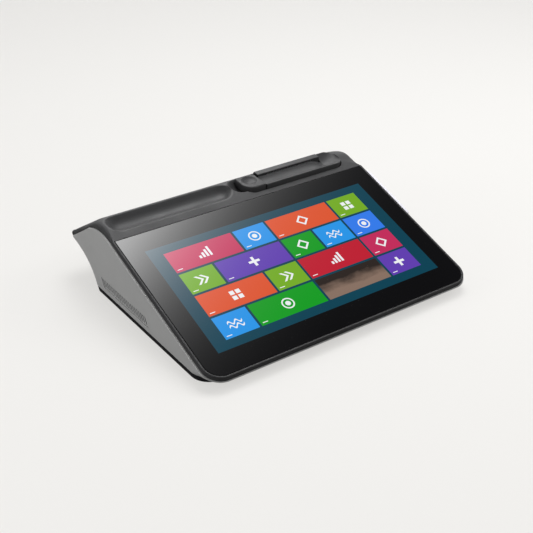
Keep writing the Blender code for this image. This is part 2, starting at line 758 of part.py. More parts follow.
def vent_outline(margin):
    """The slanted vent in a side panel, in Y and Z."""
    low, high = VENT_LOW - margin, VENT_LOW + VENT_HEIGHT + margin
    front, rear = VENT_FRONT_Y - margin, VENT_FRONT_Y + VENT_LENGTH + margin
    return [(front, low), (rear, low), (rear + VENT_LEAN, high), (front + VENT_LEAN, high)]


def main_housing():
    """Mid-grey shell: both side panels, the lip at the front and the rear undercut."""
    housing = profile_solid("main_housing", housing_profile(0.0), -HALF_WIDTH - OVERRUN,
                            HALF_WIDTH + OVERRUN, "grey")
    common(housing, case_plan("housing_plan", 0.0, TAIL_Y))
    way_down = outline_solid("housing_way_down", [base_plan(BASE_WALL)], 0.0,
                             HOUSING_BOTTOM + HOUSING_WALL * 2, ALONG_Z)
    cut(housing, housing_inside(), way_down)

    recess_top = RECESS_LOW + RECESS_HEIGHT
    sleeve = block("recess_sleeve", (RECESS_LEFT_X - RECESS_WALL, SOCKET_PANEL_Y + SOCKET_PANEL + GAP,
                                     RECESS_LOW - RECESS_WALL),
                   (RECESS_RIGHT_X + RECESS_WALL, TAIL_Y, recess_top + RECESS_WALL))
    inner = undercut_line(HOUSING_WALL / 2)
    keep = profile_solid("recess_keep", [(0.0, RECESS_LOW - OVERRUN)] + [p for p in inner if p[1] > RECESS_LOW
                                                                        - OVERRUN] + [(0.0, inner[-1][1])],
                         -HALF_WIDTH, HALF_WIDTH)
    common(sleeve, keep)
    join(housing, sleeve)
    for name, spot in base_screw_spots().items():
        post = rod("post_" + name, post_radius(), (*spot, HOUSING_BOTTOM),
                   (*spot, HOUSING_BOTTOM + SCREW_GRIP * 2))
        join(housing, post)
    cut(housing, block("recess_cut", (RECESS_LEFT_X, SOCKET_PANEL_Y, RECESS_LOW),
                       (RECESS_RIGHT_X, TAIL_Y, recess_top)))
    for side, x in (("left", -HALF_WIDTH), ("right", HALF_WIDTH)):
        cut(housing, profile_solid("vent_hole_" + side, vent_outline(GAP), x - OVERRUN, x + OVERRUN))
    cut(housing, rod("power_hole", POWER_RADIUS + GAP, (HALF_WIDTH - OVERRUN, POWER_Y, POWER_HEIGHT),
                     (HALF_WIDTH + OVERRUN, POWER_Y, POWER_HEIGHT)))
    for name, spot in base_screw_spots().items():
        cut(housing, rod("post_hole_" + name, SCREW_RADIUS + GAP, (*spot, HOUSING_BOTTOM - OVERRUN),
                         (*spot, HOUSING_BOTTOM + SCREW_GRIP), steps=SMALL_ROUND // 2))
    return housing


def post_radius():
    """Radius of a screw post, wide enough for its hole and a wall round it."""
    return SCREW_RADIUS + GAP + HOUSING_WALL


def base_screw_spots():
    """Places of the screws that hold the base plate, beside the side walls."""
    x = HALF_WIDTH - HOUSING_WALL - post_radius() + OVERLAP
    front, rear = BASE_FRONT_Y + BASE_CORNER + post_radius(), BASE_REAR_Y - post_radius() * 3
    return {"front_left": (-x, front), "front_right": (x, front),
            "rear_left": (-x, rear), "rear_right": (x, rear)}


def base_plate():
    """Black tray that closes the terminal from below."""
    top = HOUSING_BOTTOM - GAP
    profile = [(BASE_FRONT_Y - OVERRUN, FOOT_RISE), (BASE_REAR_Y - BASE_REAR_SLOPE, FOOT_RISE),
               (BASE_REAR_Y, top), (BASE_FRONT_Y - OVERRUN, top)]
    plate = profile_solid("base_plate", profile, -BASE_HALF_WIDTH - OVERRUN, BASE_HALF_WIDTH + OVERRUN,
                          "black")
    plan = rounded(-BASE_HALF_WIDTH, BASE_HALF_WIDTH, BASE_FRONT_Y, BASE_REAR_Y + OVERRUN, BASE_CORNER,
                   BASE_CORNER)
    common(plate, outline_solid("base_outline", [plan], -TAIL_Y, TAIL_Y, ALONG_Z))
    cut(plate, outline_solid("base_hollow", [base_plan(BASE_WALL)], BASE_FLOOR, TAIL_Y, ALONG_Z))
    for index, spot in enumerate(board_spots()):
        join(plate, rod("standoff_%d" % index, STANDOFF_RADIUS, (*spot, BASE_FLOOR - OVERLAP),
                        (*spot, BOARD_HEIGHT - GAP)),
             rod("board_stake_%d" % index, STAKE_RADIUS, (*spot, BOARD_HEIGHT - OVERLAP),
                 (*spot, board_top() + GAP + OVERLAP / 2), steps=SMALL_ROUND // 2),
             rod("board_stake_head_%d" % index, STAKE_HEAD_RADIUS, (*spot, board_top() + GAP),
                 (*spot, board_top() + GAP + STAKE_HEAD), steps=SMALL_ROUND // 2))
    for name, spot in base_screw_spots().items():
        join(plate, rod("screw_boss_" + name, post_radius(), (*spot, BASE_FLOOR - OVERLAP),
                        (*spot, HOUSING_BOTTOM - GAP)))
        cut(plate, rod("boss_hole_" + name, SCREW_RADIUS + GAP, (*spot, 0.0), (*spot, TAIL_Y),
                       steps=SMALL_ROUND // 2),
            rod("boss_sink_" + name, SCREW_HEAD_RADIUS + GAP, (*spot, 0.0),
                (*spot, FOOT_RISE + SCREW_HEAD + GAP), steps=SMALL_ROUND // 2))
    for name, spot in foot_spots().items():
        cut(plate, rod("foot_seat_" + name, FOOT_RADIUS + GAP, (*spot, 0.0),
                       (*spot, FOOT_RISE + FOOT_SEAT_DEPTH), steps=ROUND))
    return plate


def base_screws():
    """Four screws from below that hold the base plate to the housing's posts."""
    head_top = FOOT_RISE + SCREW_HEAD
    for name, spot in base_screw_spots().items():
        screw = rod("base_screw_" + name, SCREW_HEAD_RADIUS, (*spot, FOOT_RISE), (*spot, head_top), "steel",
                    SMALL_ROUND // 2 * 2)
        join(screw, rod("thread_" + name, SCREW_RADIUS, (*spot, head_top - OVERLAP / 2),
                        (*spot, HOUSING_BOTTOM + SCREW_GRIP - GAP), steps=SMALL_ROUND // 2))


def foot_spots():
    x = BASE_HALF_WIDTH - FOOT_SIDE_INSET
    front, rear = BASE_FRONT_Y + FOOT_FRONT_INSET, BASE_REAR_Y - FOOT_REAR_INSET
    return {"front_left": (-x, front), "front_right": (x, front), "rear_left": (-x, rear),
            "rear_right": (x, rear)}


def feet():
    """Four rubber feet, set in round seats in the base plate."""
    for name, spot in foot_spots().items():
        rod("foot_" + name, FOOT_RADIUS, (*spot, 0.0), (*spot, FOOT_RISE + FOOT_SEAT_DEPTH - GAP), "rubber",
            ROUND)


def vent_grilles():
    """Slotted panels that fill the vents in both side panels."""
    frame = vent_outline(0.0)
    pitch = (VENT_LENGTH - SLOT_MARGIN) / SLOT_COUNT
    low, high = VENT_LOW + SLOT_MARGIN, VENT_LOW + VENT_HEIGHT - SLOT_MARGIN
    slots = []
    for index in range(SLOT_COUNT):
        middle = VENT_FRONT_Y + SLOT_MARGIN / 2 + pitch * (index + 0.5)
        near, far = middle - SLOT_WIDTH / 2, middle + SLOT_WIDTH / 2
        lean_low = VENT_LEAN * (low - VENT_LOW) / VENT_HEIGHT
        lean_high = VENT_LEAN * (high - VENT_LOW) / VENT_HEIGHT
        slots.append([(near + lean_low, low), (near + lean_high, high), (far + lean_high, high),
                      (far + lean_low, low)])
    face = HALF_WIDTH - VENT_RECESS
    outline_solid("vent_grille_left", [frame] + slots, -face, -face + VENT_PANEL, ALONG_X, "grey")
    outline_solid("vent_grille_right", [frame] + slots, face - VENT_PANEL, face, ALONG_X, "grey")


def power_button():
    """Round side button with a flange behind the wall."""
    inner = HALF_WIDTH - HOUSING_WALL - GAP
    button = rod("power_button", POWER_RADIUS, (inner - OVERLAP, POWER_Y, POWER_HEIGHT),
                 (HALF_WIDTH + POWER_PROUD, POWER_Y, POWER_HEIGHT), "charcoal")
    join(button, rod("power_flange", POWER_RADIUS + POWER_FLANGE,
                     (inner - POWER_FLANGE_THICKNESS, POWER_Y, POWER_HEIGHT), (inner, POWER_Y, POWER_HEIGHT)))
    return button


def power_switch():
    """Switch cup behind the power button, fixed to the side wall."""
    inner = HALF_WIDTH - HOUSING_WALL - GAP
    bore = POWER_RADIUS + POWER_FLANGE + GAP
    half = bore + SWITCH_WALL
    depth = POWER_FLANGE_THICKNESS + POWER_STROKE + GAP
    cup = block("power_switch", (inner - depth - SWITCH_WALL, POWER_Y - half, POWER_HEIGHT - half),
                (inner, POWER_Y + half, POWER_HEIGHT + half), "chip")
    cut(cup, rod("switch_bore", bore, (inner - depth, POWER_Y, POWER_HEIGHT),
                 (inner + OVERRUN, POWER_Y, POWER_HEIGHT)))
    return cup


# Printer


def bezel_front_height():
    return deck_height(BEZEL_FRONT_Y) + BEZEL_RISE


def scoop_centre():
    """Centre of the scoop's arc, set so that it meets the bezel's front edge."""
    rise = math.sqrt(max(SCOOP_RADIUS ** 2 - (SCOOP_Y - BEZEL_FRONT_Y) ** 2, WELD))
    return (SCOOP_Y, bezel_front_height() + rise)


def bezel_line(inset, rear_y):
    """Scooped top of the bezel from its front edge to rear_y, moved down by inset."""
    centre = scoop_centre()
    radius = SCOOP_RADIUS + inset
    start = math.asin((BEZEL_FRONT_Y + inset - centre[0]) / radius) - math.pi / 2
    end = math.asin((BEZEL_REAR_Y - centre[0]) / radius) - math.pi / 2
    line = arc(centre, radius, start, end, ARC_STEPS)
    return line + [(rear_y, CREST_TOP + DOOR_TOP_RISE - inset)]


def printer_bezel():
    """Scooped piece between the button and the right end, raised above the deck."""
    bottom = bezel_front_height() - BEZEL_DEPTH
    outside = [(BEZEL_FRONT_Y - OVERRUN, bottom), (BEZEL_END_REAR_Y + OVERRUN, bottom)]
    line = bezel_line(0.0, BEZEL_END_REAR_Y + OVERRUN)
    body = profile_solid("printer_bezel", outside + line[::-1] + [(BEZEL_FRONT_Y - OVERRUN, line[0][1])],
                         BEZEL_LEFT_X - OVERRUN, BEZEL_RIGHT_X + OVERRUN, "charcoal")
    common(body, outline_solid("bezel_plan", [bezel_plan(0.0)], 0.0, TAIL_Y, ALONG_Z))
    inside = [(BEZEL_FRONT_Y, bottom - OVERRUN), (BEZEL_END_REAR_Y, bottom - OVERRUN)]
    line = bezel_line(BEZEL_WALL, BEZEL_END_REAR_Y)
    hollow = profile_solid("bezel_hollow", inside + line[::-1] + [(BEZEL_FRONT_Y, line[0][1])],
                           BEZEL_LEFT_X - OVERRUN, BEZEL_RIGHT_X)
    common(hollow, outline_solid("bezel_hollow_plan", [bezel_plan(BEZEL_WALL)], 0.0, TAIL_Y, ALONG_Z))
    return cut(body, hollow)


def bezel_plan(inset):
    """The bezel seen from above, with its right end reaching round the door."""
    right = rounded(BEZEL_LEFT_X + inset, BEZEL_RIGHT_X - inset, BEZEL_FRONT_Y + inset,
                    BEZEL_END_REAR_Y - inset, 0.0, BEZEL_TIP - inset, BEZEL_TIP - inset)[:-1]
    rear = BEZEL_REAR_Y if inset == 0 else BEZEL_REAR_Y + OVERRUN
    return right + [(BEZEL_END_X + inset, BEZEL_END_REAR_Y - inset), (BEZEL_END_X + inset, rear),
                    (BEZEL_LEFT_X + inset, rear)]


def tear_bar():
    """Serrated steel blade on the bezel's rear edge, over the paper's way out."""
    low_x, high_x = PAPER_X - PAPER_WIDTH / 2, PAPER_X + PAPER_WIDTH / 2
    top = bezel_line(0.0, BEZEL_END_REAR_Y)[-2][1] - GAP
    teeth = []
    count = int(PAPER_WIDTH / TOOTH_PITCH)
    pitch = PAPER_WIDTH / count
    for index in range(count):
        teeth += [(high_x - pitch * index, top - TOOTH_HEIGHT), (high_x - pitch * (index + 0.5), top)]
    foot = top - TEAR_HEIGHT
    outline = [(low_x, foot), (high_x, foot)] + teeth + [(low_x, top - TOOTH_HEIGHT)]
    near = BEZEL_REAR_Y + GAP
    standing = Matrix.Rotation(math.pi / 2, 4, "X")
    outline_solid("tear_bar", [outline], -near - TEAR_BLADE, -near, standing, "steel")


def release_plan(inset):
    return rounded(BUTTON_LEFT_X + inset, BEZEL_LEFT_X - PART_LINE - inset, BUTTON_FRONT_Y + inset,
                   BUTTON_REAR_Y - inset, BUTTON_CORNER - inset, 0.0)


def release_top(inset):
    """Heights of the button's top at its front and rear edges."""
    return (bezel_front_height() - inset, CREST_TOP + DOOR_FRONT_RISE - inset)


def key_profile(bottom, rear, front):
    """Side profile of the button between a flat bottom and a sloped top."""
    return [(BUTTON_FRONT_Y, bottom), (BUTTON_REAR_Y, bottom), (BUTTON_REAR_Y, rear), (BUTTON_FRONT_Y, front)]


def release_button():
    """Raised key with a round dimple; pressed straight down it frees the door."""
    front, rear = release_top(0.0)
    bottom = front - BUTTON_DEPTH
    key = profile_solid("release_button", key_profile(bottom, rear, front), BUTTON_LEFT_X - OVERRUN,
                        BEZEL_LEFT_X + OVERRUN, "charcoal")
    common(key, outline_solid("button_plan", [release_plan(0.0)], 0.0, TAIL_Y, ALONG_Z))
    inner_front, inner_rear = release_top(BUTTON_WALL)
    hollow = profile_solid("button_hollow", key_profile(bottom - OVERRUN, inner_rear, inner_front),
                           BUTTON_LEFT_X, BEZEL_LEFT_X)
    common(hollow, outline_solid("button_hollow_plan", [release_plan(BUTTON_WALL)], 0.0, TAIL_Y, ALONG_Z))
    cut(key, hollow)
    x, y = stem_spot()
    join(key, rod("button_stem", STEM_RADIUS, (x, y, latch_bar_top() + GAP), (x, y, front)))
    bowl = (DIMPLE_RADIUS ** 2 + DIMPLE_DEPTH ** 2) / (2 * DIMPLE_DEPTH)
    share = (DIMPLE_Y - BUTTON_FRONT_Y) / (BUTTON_REAR_Y - BUTTON_FRONT_Y)
    height = front + (rear - front) * share
    slope = math.atan2(rear - front, BUTTON_REAR_Y - BUTTON_FRONT_Y)
    away = bowl - DIMPLE_DEPTH
    middle_x = (BUTTON_LEFT_X + BEZEL_LEFT_X - PART_LINE) / 2
    lens = ball("dimple", bowl, (0.0, 0.0, 0.0))
    lens.location = (middle_x, DIMPLE_Y - away * math.sin(slope), height + away * math.cos(slope))
    cut(key, lens)
    return key


def stem_spot():
    """X and Y of the button's stem."""
    return ((BUTTON_LEFT_X + BEZEL_LEFT_X) / 2, STEM_Y)


def release_spring():
    x, y = stem_spot()
    low = SHELF_HEIGHT + GAP
    slope = (release_top(0.0)[1] - release_top(0.0)[0]) / (BUTTON_REAR_Y - BUTTON_FRONT_Y)
    high = release_top(BUTTON_WALL)[0] + (y - SPRING_RADIUS - BUTTON_FRONT_Y) * slope - GAP - SPRING_WIRE
    coil("release_spring", SPRING_RADIUS, SPRING_WIRE, SPRING_TURNS, (x, y, low), (x, y, high), "steel")


def printer_door():
    """Door over the paper: front lip with the platen, and a panel flush with the rear slope."""
    hinge = door_hinge()
    top = CREST_TOP + DOOR_TOP_RISE
    front = CREST_TOP + DOOR_FRONT_RISE
    crest = [p for p in arc(CREST, CREST_RADIUS, math.pi / 2, math.pi / 2 - REAR_TILT, ARC_STEPS)
             if p[0] > DOOR_TOP_Y + DOOR_TOP_RISE]
    outer = [(DOOR_FRONT_Y, front), (DOOR_TOP_Y, top)] + crest + [rear_line(DOOR_HINGE_Y, 0.0)]
    knuckle = arc(hinge, DOOR_HINGE_DEPTH, math.pi / 2 - REAR_TILT, -math.pi / 2 - REAR_TILT, ARC_STEPS)
    inner_crest = [p for p in arc(CREST, CREST_RADIUS - DOOR_WALL, math.pi / 2, math.pi / 2 - REAR_TILT,
                                  ARC_STEPS) if p[0] > DOOR_TOP_Y + DOOR_TOP_RISE]
    inner = [rear_line(DOOR_HINGE_Y - DOOR_HINGE_DEPTH, DOOR_WALL)] + inner_crest[::-1]
    lip = [(DOOR_TOP_Y, top - DOOR_WALL), (DOOR_FRONT_Y + DOOR_WALL, front - DOOR_WALL),
           (DOOR_FRONT_Y + DOOR_WALL, front - DOOR_LIP), (DOOR_FRONT_Y, front - DOOR_LIP)]
    door = profile_solid("printer_door", outer + knuckle[1:] + inner + lip, DOOR_LEFT_X, DOOR_RIGHT_X,
                         "charcoal")
    for side, x in hanger_places().items():
        join(door, profile_solid("hanger_" + side, hanger_outline(), x, x + HANGER))
    cut(door, rod("door_pin_bore", PIN_RADIUS + GAP, (DOOR_LEFT_X - OVERRUN, *hinge),
                  (DOOR_RIGHT_X + OVERRUN, *hinge)),
        rod("shaft_bores", SHAFT_RADIUS + GAP, (DOOR_LEFT_X, PLATEN_Y, PLATEN_HEIGHT),
            (DOOR_RIGHT_X, PLATEN_Y, PLATEN_HEIGHT)))
    return hang(door, (DOOR_LEFT_X, *hinge))


def hanger_places():
    """Left faces of the two hangers that carry the platen under the door."""
    half = PAPER_WIDTH / 2 + GAP
    return {"left": PAPER_X - half - HANGER, "right": PAPER_X + half}


def hanger_outline():
    """One hanger: from the door's inner face down round the platen shaft."""
    radius = SHAFT_RADIUS + GAP + HANGER
    round_end = arc((PLATEN_Y, PLATEN_HEIGHT), radius, math.pi, 2 * math.pi, SMALL_ROUND)
    top = CREST_TOP + DOOR_FRONT_RISE - DOOR_WALL / 2
    return round_end + [(PLATEN_Y + radius, top), (PLATEN_Y - radius + DOOR_WALL / 2, top)]


def door_hinge_pin():
    hinge = door_hinge()
    rod("door_hinge_pin", PIN_RADIUS, (DOOR_LEFT_X - PART_LINE - EAR_THICKNESS, *hinge),
        (DOOR_RIGHT_X + PART_LINE + EAR_THICKNESS, *hinge), "steel")


def platen():
    """Rubber roller on its steel shaft, with a gear at the right and two bushings."""
    hangers = hanger_places()
    low, high = hangers["left"] + HANGER + GAP, hangers["right"] - GAP
    axis = (PLATEN_Y, PLATEN_HEIGHT)
    roller = outline_solid("platen_roller", [circle(axis, PLATEN_RADIUS, ROUND),
                                             circle(axis, SHAFT_RADIUS + GAP, SMALL_ROUND)[::-1]],
                           low, high, ALONG_X, "rubber")
    smooth(roller.data)
    hang(roller, (PAPER_X, *axis))
    left_end, right_end = latch_left_x() - GAP * 2, gear_right_x()
    hang(rod("platen_shaft", SHAFT_RADIUS, (left_end, *axis), (right_end, *axis), "steel"), (PAPER_X, *axis))
    gear("platen_gear", PLATEN_TEETH, axis, SHAFT_RADIUS + GAP, 0.0, "nylon")
    for side, x in cheek_places().items():
        middle = x + CHEEK / 2
        ring = outline_solid("platen_bushing_" + side, [circle(axis, BUSHING_RADIUS, SMALL_ROUND),
                                                        circle(axis, SHAFT_RADIUS + GAP, SMALL_ROUND)[::-1]],
                             middle - BUSHING_LENGTH / 2, middle + BUSHING_LENGTH / 2, ALONG_X, "nylon")
        smooth(ring.data)


def cheek_places():
    """Left faces of the printer frame's two cheeks, outside the hangers."""
    hangers = hanger_places()
    return {"left": hangers["left"] - CHEEK_PLAY - CHEEK, "right": hangers["right"] + HANGER + CHEEK_PLAY}


def gear_left_x():
    return cheek_places()["right"] + CHEEK / 2 + BUSHING_LENGTH / 2 + PART_LINE


def gear_right_x():
    return gear_left_x() + GEAR_FACE


def gear_outline(teeth, turn):
    """Spur gear with straight-sided teeth and generous backlash."""
    pitch_radius = GEAR_MODULE * teeth / 2
    tip, foot = pitch_radius + GEAR_MODULE * TIP_SHARE, pitch_radius - GEAR_MODULE * FOOT_SHARE
    step = 2 * math.pi / teeth
    outline = []
    for index in range(teeth):
        middle = turn + index * step
        for radius, share in ((foot, -ROOT_TOOTH_SHARE), (tip, -TIP_TOOTH_SHARE), (tip, TIP_TOOTH_SHARE),
                              (foot, ROOT_TOOTH_SHARE)):
            angle = middle + share * step
            outline.append((radius * math.cos(angle), radius * math.sin(angle)))
    return outline


def gear(name, teeth, axis, bore, turn, finish):
    """A gear on an axis along X, with its origin on that axis."""
    outline = [(axis[0] + a, axis[1] + b) for a, b in gear_outline(teeth, turn)]
    wheel = outline_solid(name, [outline, circle(axis, bore, SMALL_ROUND)[::-1]], gear_left_x(),
                          gear_right_x(), ALONG_X, finish)
    return hang(wheel, (gear_left_x(), *axis))


def door_opening_way():
    """Unit direction, in Y and Z, in which the platen leaves when the door opens."""
    hinge = door_hinge()
    arm = Vector((PLATEN_Y - hinge[0], PLATEN_HEIGHT - hinge[1]))
    return Vector((arm[1], -arm[0])).normalized()


def idler_axis():
    """The idler lies straight behind the way in which the platen gear leaves it."""
    reach = GEAR_MODULE * (PLATEN_TEETH + IDLER_TEETH) / 2
    away = door_opening_way()
    return (PLATEN_Y - away[0] * reach, PLATEN_HEIGHT - away[1] * reach)


def pinion_axis():
    reach = GEAR_MODULE * (IDLER_TEETH + PINION_TEETH) / 2
    centre = idler_axis()
    return (centre[0] + reach * math.cos(IDLER_TURN), centre[1] + reach * math.sin(IDLER_TURN))


def mesh_turn(teeth, towards, other_teeth, other_turn):
    """Turn that puts a gap of this gear opposite a tooth of the other one."""
    step, other_step = 2 * math.pi / teeth, 2 * math.pi / other_teeth
    facing = towards + math.pi
    other_phase = ((facing - other_turn) / other_step) % 1.0
    return towards - step * (0.5 - other_phase)


def gear_train():
    """Idler and motor pinion, in mesh with the platen gear at rest."""
    platen_axis = (PLATEN_Y, PLATEN_HEIGHT)
    centre = idler_axis()
    to_platen = math.atan2(platen_axis[1] - centre[1], platen_axis[0] - centre[0])
    idler_turn = mesh_turn(IDLER_TEETH, to_platen, PLATEN_TEETH, 0.0)
    gear("idler_gear", IDLER_TEETH, centre, POST_RADIUS + GAP, idler_turn, "nylon")
    driver = pinion_axis()
    to_idler = math.atan2(centre[1] - driver[1], centre[0] - driver[0])
    pinion_turn = mesh_turn(PINION_TEETH, to_idler, IDLER_TEETH, idler_turn)
    gear("motor_pinion", PINION_TEETH, driver, SHAFT_RADIUS / 2 + GAP, pinion_turn, "brass")


def motor_lugs():
    """Places of the two screw lugs on the motor's face, clear of the idler."""
    driver = Vector(pinion_axis())
    along = Vector((-math.sin(IDLER_TURN), math.cos(IDLER_TURN))) * MOTOR_LUG
    return [tuple(driver + along), tuple(driver - along)]


def feed_motor():
    """Small stepper beside the gears, held by two lugs, with its shaft in the pinion."""
    driver = pinion_axis()
    face = gear_right_x() + PART_LINE
    first, second = motor_lugs()
    motor = rod("feed_motor", MOTOR_RADIUS, (face, *driver), (face + MOTOR_LENGTH, *driver), "steel", ROUND)
    along = (Vector(second) - Vector(first)).normalized()
    across = Vector((-along[1], along[0])) * MOTOR_LUG_RADIUS
    strap = [tuple(Vector(first) - across), tuple(Vector(second) - across), tuple(Vector(second) + across),
             tuple(Vector(first) + across)]
    plate = profile_solid("motor_strap", strap, face + OVERLAP / 2, face + OVERLAP / 2 + MOTOR_LUG_THICKNESS)
    join(motor, plate)
    join(motor, rod("motor_shaft", SHAFT_RADIUS / 2, (gear_left_x(), *driver), (face + OVERLAP, *driver)))
    return motor


def printer_frame():
    """Steel frame: two cheeks, bars across, a shelf for the button and posts."""
    cheeks = cheek_places()
    left = profile_solid("printer_frame", cheek_outline(), cheeks["left"], cheeks["left"] + CHEEK, "steel")
    join(left, profile_solid("right_cheek", cheek_outline(), cheeks["right"], cheeks["right"] + CHEEK))
    start, end = cheeks["left"] + CHEEK / 2, cheeks["right"] + CHEEK / 2
    bar_y = head_bar_y()
    low, high = head_heights()
    join(left, block("head_bar", (start, bar_y, low), (end, bar_y + HEAD_BAR, high)),
         block("front_bar", (start, FRAME_FOOT_FRONT_Y + OVERLAP, BAY_HEIGHT - BAY_RADIUS),
               (end, FRAME_FOOT_FRONT_Y + OVERLAP + FRAME_BAR, BAY_HEIGHT)))
    x, y = stem_spot()
    half_shelf = SPRING_RADIUS + SHELF_MARGIN
    join(left, block("button_shelf", (x - half_shelf, y - half_shelf, SHELF_HEIGHT - SHELF_THICKNESS),
                     (start, y + half_shelf, SHELF_HEIGHT)))
    cut(left, rod("stem_hole", STEM_RADIUS + GAP, (x, y, SHELF_HEIGHT - OVERRUN),
                  (x, y, SHELF_HEIGHT + OVERRUN)))
    face = gear_right_x() + PART_LINE + OVERLAP / 2 - GAP
    inner = cheeks["right"] + CHEEK / 2
    join(left, rod("idler_post", POST_RADIUS, (inner, *idler_axis()), (gear_right_x(), *idler_axis())))
    for index, spot in enumerate(motor_lugs()):
        join(left, rod("motor_post_%d" % index, POST_RADIUS, (inner, *spot), (face, *spot)))
    cut(left, rod("latch_pin_hole", SHAFT_RADIUS + GAP, (cheeks["left"] - OVERRUN, LATCH_Y, LATCH_HEIGHT),
                  (cheeks["left"] + CHEEK + OVERRUN, LATCH_Y, LATCH_HEIGHT)))
    return left


def cheek_outline():
    """One cheek in Y and Z, with an open seat for the platen's bushing."""
    seat = BUSHING_RADIUS + GAP
    bezel_low = scoop_centre()[1] - SCOOP_RADIUS - BEZEL_WALL - GAP
    front_low = bezel_front_height() - BEZEL_DEPTH - GAP
    floor = BASE_FLOOR + GAP
    ring = arc((PLATEN_Y, PLATEN_HEIGHT), seat, -math.pi, -math.pi / 2, CORNER_STEPS)
    head_top = PLATEN_HEIGHT + CHEEK / 2
    return [(FRAME_FOOT_FRONT_Y, floor), (FRAME_FOOT_REAR_Y, floor), (FRAME_FOOT_REAR_Y, BAY_HEIGHT),
            (PLATEN_Y + seat * 2, PLATEN_HEIGHT - seat * 2), (PLATEN_Y + seat, PLATEN_HEIGHT - seat)] \
        + ring[::-1] + [(PLATEN_Y - seat, head_top), (SCOOP_Y + CHEEK, head_top),
                        (SCOOP_Y + CHEEK, bezel_low), (SCOOP_Y - CHEEK, bezel_low),
                        (SCOOP_Y - CHEEK, front_low), (FRAME_FRONT_Y, front_low),
                        (FRAME_FRONT_Y, BAY_HEIGHT), (FRAME_FOOT_FRONT_Y, BAY_HEIGHT - BAY_RADIUS / 2)]


def head_face_y():
    """The print head's face, just in front of the platen."""
    return PLATEN_Y - PLATEN_RADIUS - GAP


def head_bar_y():
    """Front face of the bar behind the head springs."""
    return (head_face_y() - HEAD_THICKNESS - GAP - SINK_THICKNESS - GAP - HEAD_SPRING_LENGTH - GAP - HEAD_BAR)


def head_heights():
    """Lower and upper edge of the print head."""
    return PLATEN_HEIGHT - HEAD_DROP, PLATEN_HEIGHT - HEAD_DROP + HEAD_HEIGHT


def print_head():
    """Thermal head, its heat-spreading plate and the two springs that press it."""
    half = PAPER_WIDTH / 2 - CHEEK_PLAY
    low, high = head_heights()
    face = head_face_y()
    block("print_head", (PAPER_X - half, face - HEAD_THICKNESS, low), (PAPER_X + half, face, high), "chip")
    back = face - HEAD_THICKNESS - GAP
    block("head_heat_sink", (PAPER_X - half, back - SINK_THICKNESS, low), (PAPER_X + half, back, high),
          "aluminium")
    near = back - SINK_THICKNESS - GAP
    height = (low + high) / 2
    for side, x in (("left", PAPER_X - half / 2), ("right", PAPER_X + half / 2)):
        coil("head_spring_" + side, HEAD_SPRING_RADIUS, SPRING_WIRE, SPRING_TURNS // 2,
             (x, near - HEAD_SPRING_LENGTH, height), (x, near, height), "steel")


def paper_bay():
    """Round-bottomed bucket that a paper roll drops into."""
    half = PAPER_WIDTH / 2 + BAY_SIDE_PLAY
    top = BAY_HEIGHT + BAY_RIM
    outer = arc((BAY_Y, BAY_HEIGHT), BAY_RADIUS + BAY_WALL, math.pi, 2 * math.pi, ROUND // 2)
    inner = arc((BAY_Y, BAY_HEIGHT), BAY_RADIUS, math.pi, 2 * math.pi, ROUND // 2)
    rear_top = top - BAY_RIM
    bucket = profile_solid("paper_bay", outer + [(outer[-1][0], rear_top + BAY_WALL), (outer[0][0], top)],
                           PAPER_X - half - BAY_WALL, PAPER_X + half + BAY_WALL, "black")
    room = inner + [(inner[-1][0], top + OVERRUN), (inner[0][0], top + OVERRUN)]
    cut(bucket, profile_solid("bay_room", room, PAPER_X - half, PAPER_X + half))
    return bucket


# Latch


def latch_left_x():
    return cheek_places()["left"] - CHEEK_PLAY - LATCH_THICKNESS


def latch_bar_top():
    return LATCH_HEIGHT + LATCH_ARM / 2


def nose_limit(height):
    """How far back the latch may reach at a height, beside the shaft's way out."""
    way = door_opening_way()
    edge = Vector((PLATEN_Y, PLATEN_HEIGHT)) + Vector((-way[1], way[0])) * (SHAFT_RADIUS + GAP)
    return edge[0] + (height - edge[1]) * way[0] / way[1]


def latch_hook():
    """Lever with a nose over the platen shaft; the button's stem tips it forward."""
    left = latch_left_x()
    clear = SHAFT_RADIUS + GAP
    arm_rear = PLATEN_Y - clear
    top = PLATEN_HEIGHT + clear
    boss = arc((LATCH_Y, LATCH_HEIGHT), LATCH_BOSS, -math.pi / 2, 0.0, CORNER_STEPS)
    bar_low = LATCH_HEIGHT - LATCH_ARM / 2
    nose_top = top + LATCH_NOSE
    outline = [(STEM_Y - LATCH_ARM, bar_low), (LATCH_Y - LATCH_BOSS, bar_low)]
    outline += boss + [(arm_rear, LATCH_HEIGHT + LATCH_BOSS), (arm_rear, top), (nose_limit(top), top),
                       (nose_limit(nose_top), nose_top), (arm_rear - LATCH_ARM, nose_top),
                       (arm_rear - LATCH_ARM, LATCH_HEIGHT + LATCH_BOSS),
                       (LATCH_Y - LATCH_BOSS, latch_bar_top()), (STEM_Y - LATCH_ARM, latch_bar_top())]
    hook = profile_solid("latch_hook", outline, left, left + LATCH_THICKNESS, "steel")
    join(hook, block("latch_bar", (LATCH_BAR_LEFT_X, STEM_Y - LATCH_ARM + OVERLAP / 2,
                                   LATCH_HEIGHT - LATCH_ARM / 2 + OVERLAP / 2),
                     (left + LATCH_THICKNESS / 2, STEM_Y + LATCH_ARM, latch_bar_top())))
    cut(hook, rod("latch_bore", SHAFT_RADIUS + GAP, (left - OVERRUN, LATCH_Y, LATCH_HEIGHT),
                  (left + LATCH_THICKNESS + OVERRUN, LATCH_Y, LATCH_HEIGHT)))
    return hang(hook, (left, LATCH_Y, LATCH_HEIGHT))


def latch_pin():
    left = latch_left_x() - GAP
    right = cheek_places()["left"] + CHEEK
    rod("latch_pin", SHAFT_RADIUS, (left, LATCH_Y, LATCH_HEIGHT), (right, LATCH_Y, LATCH_HEIGHT), "steel")


# Card reader


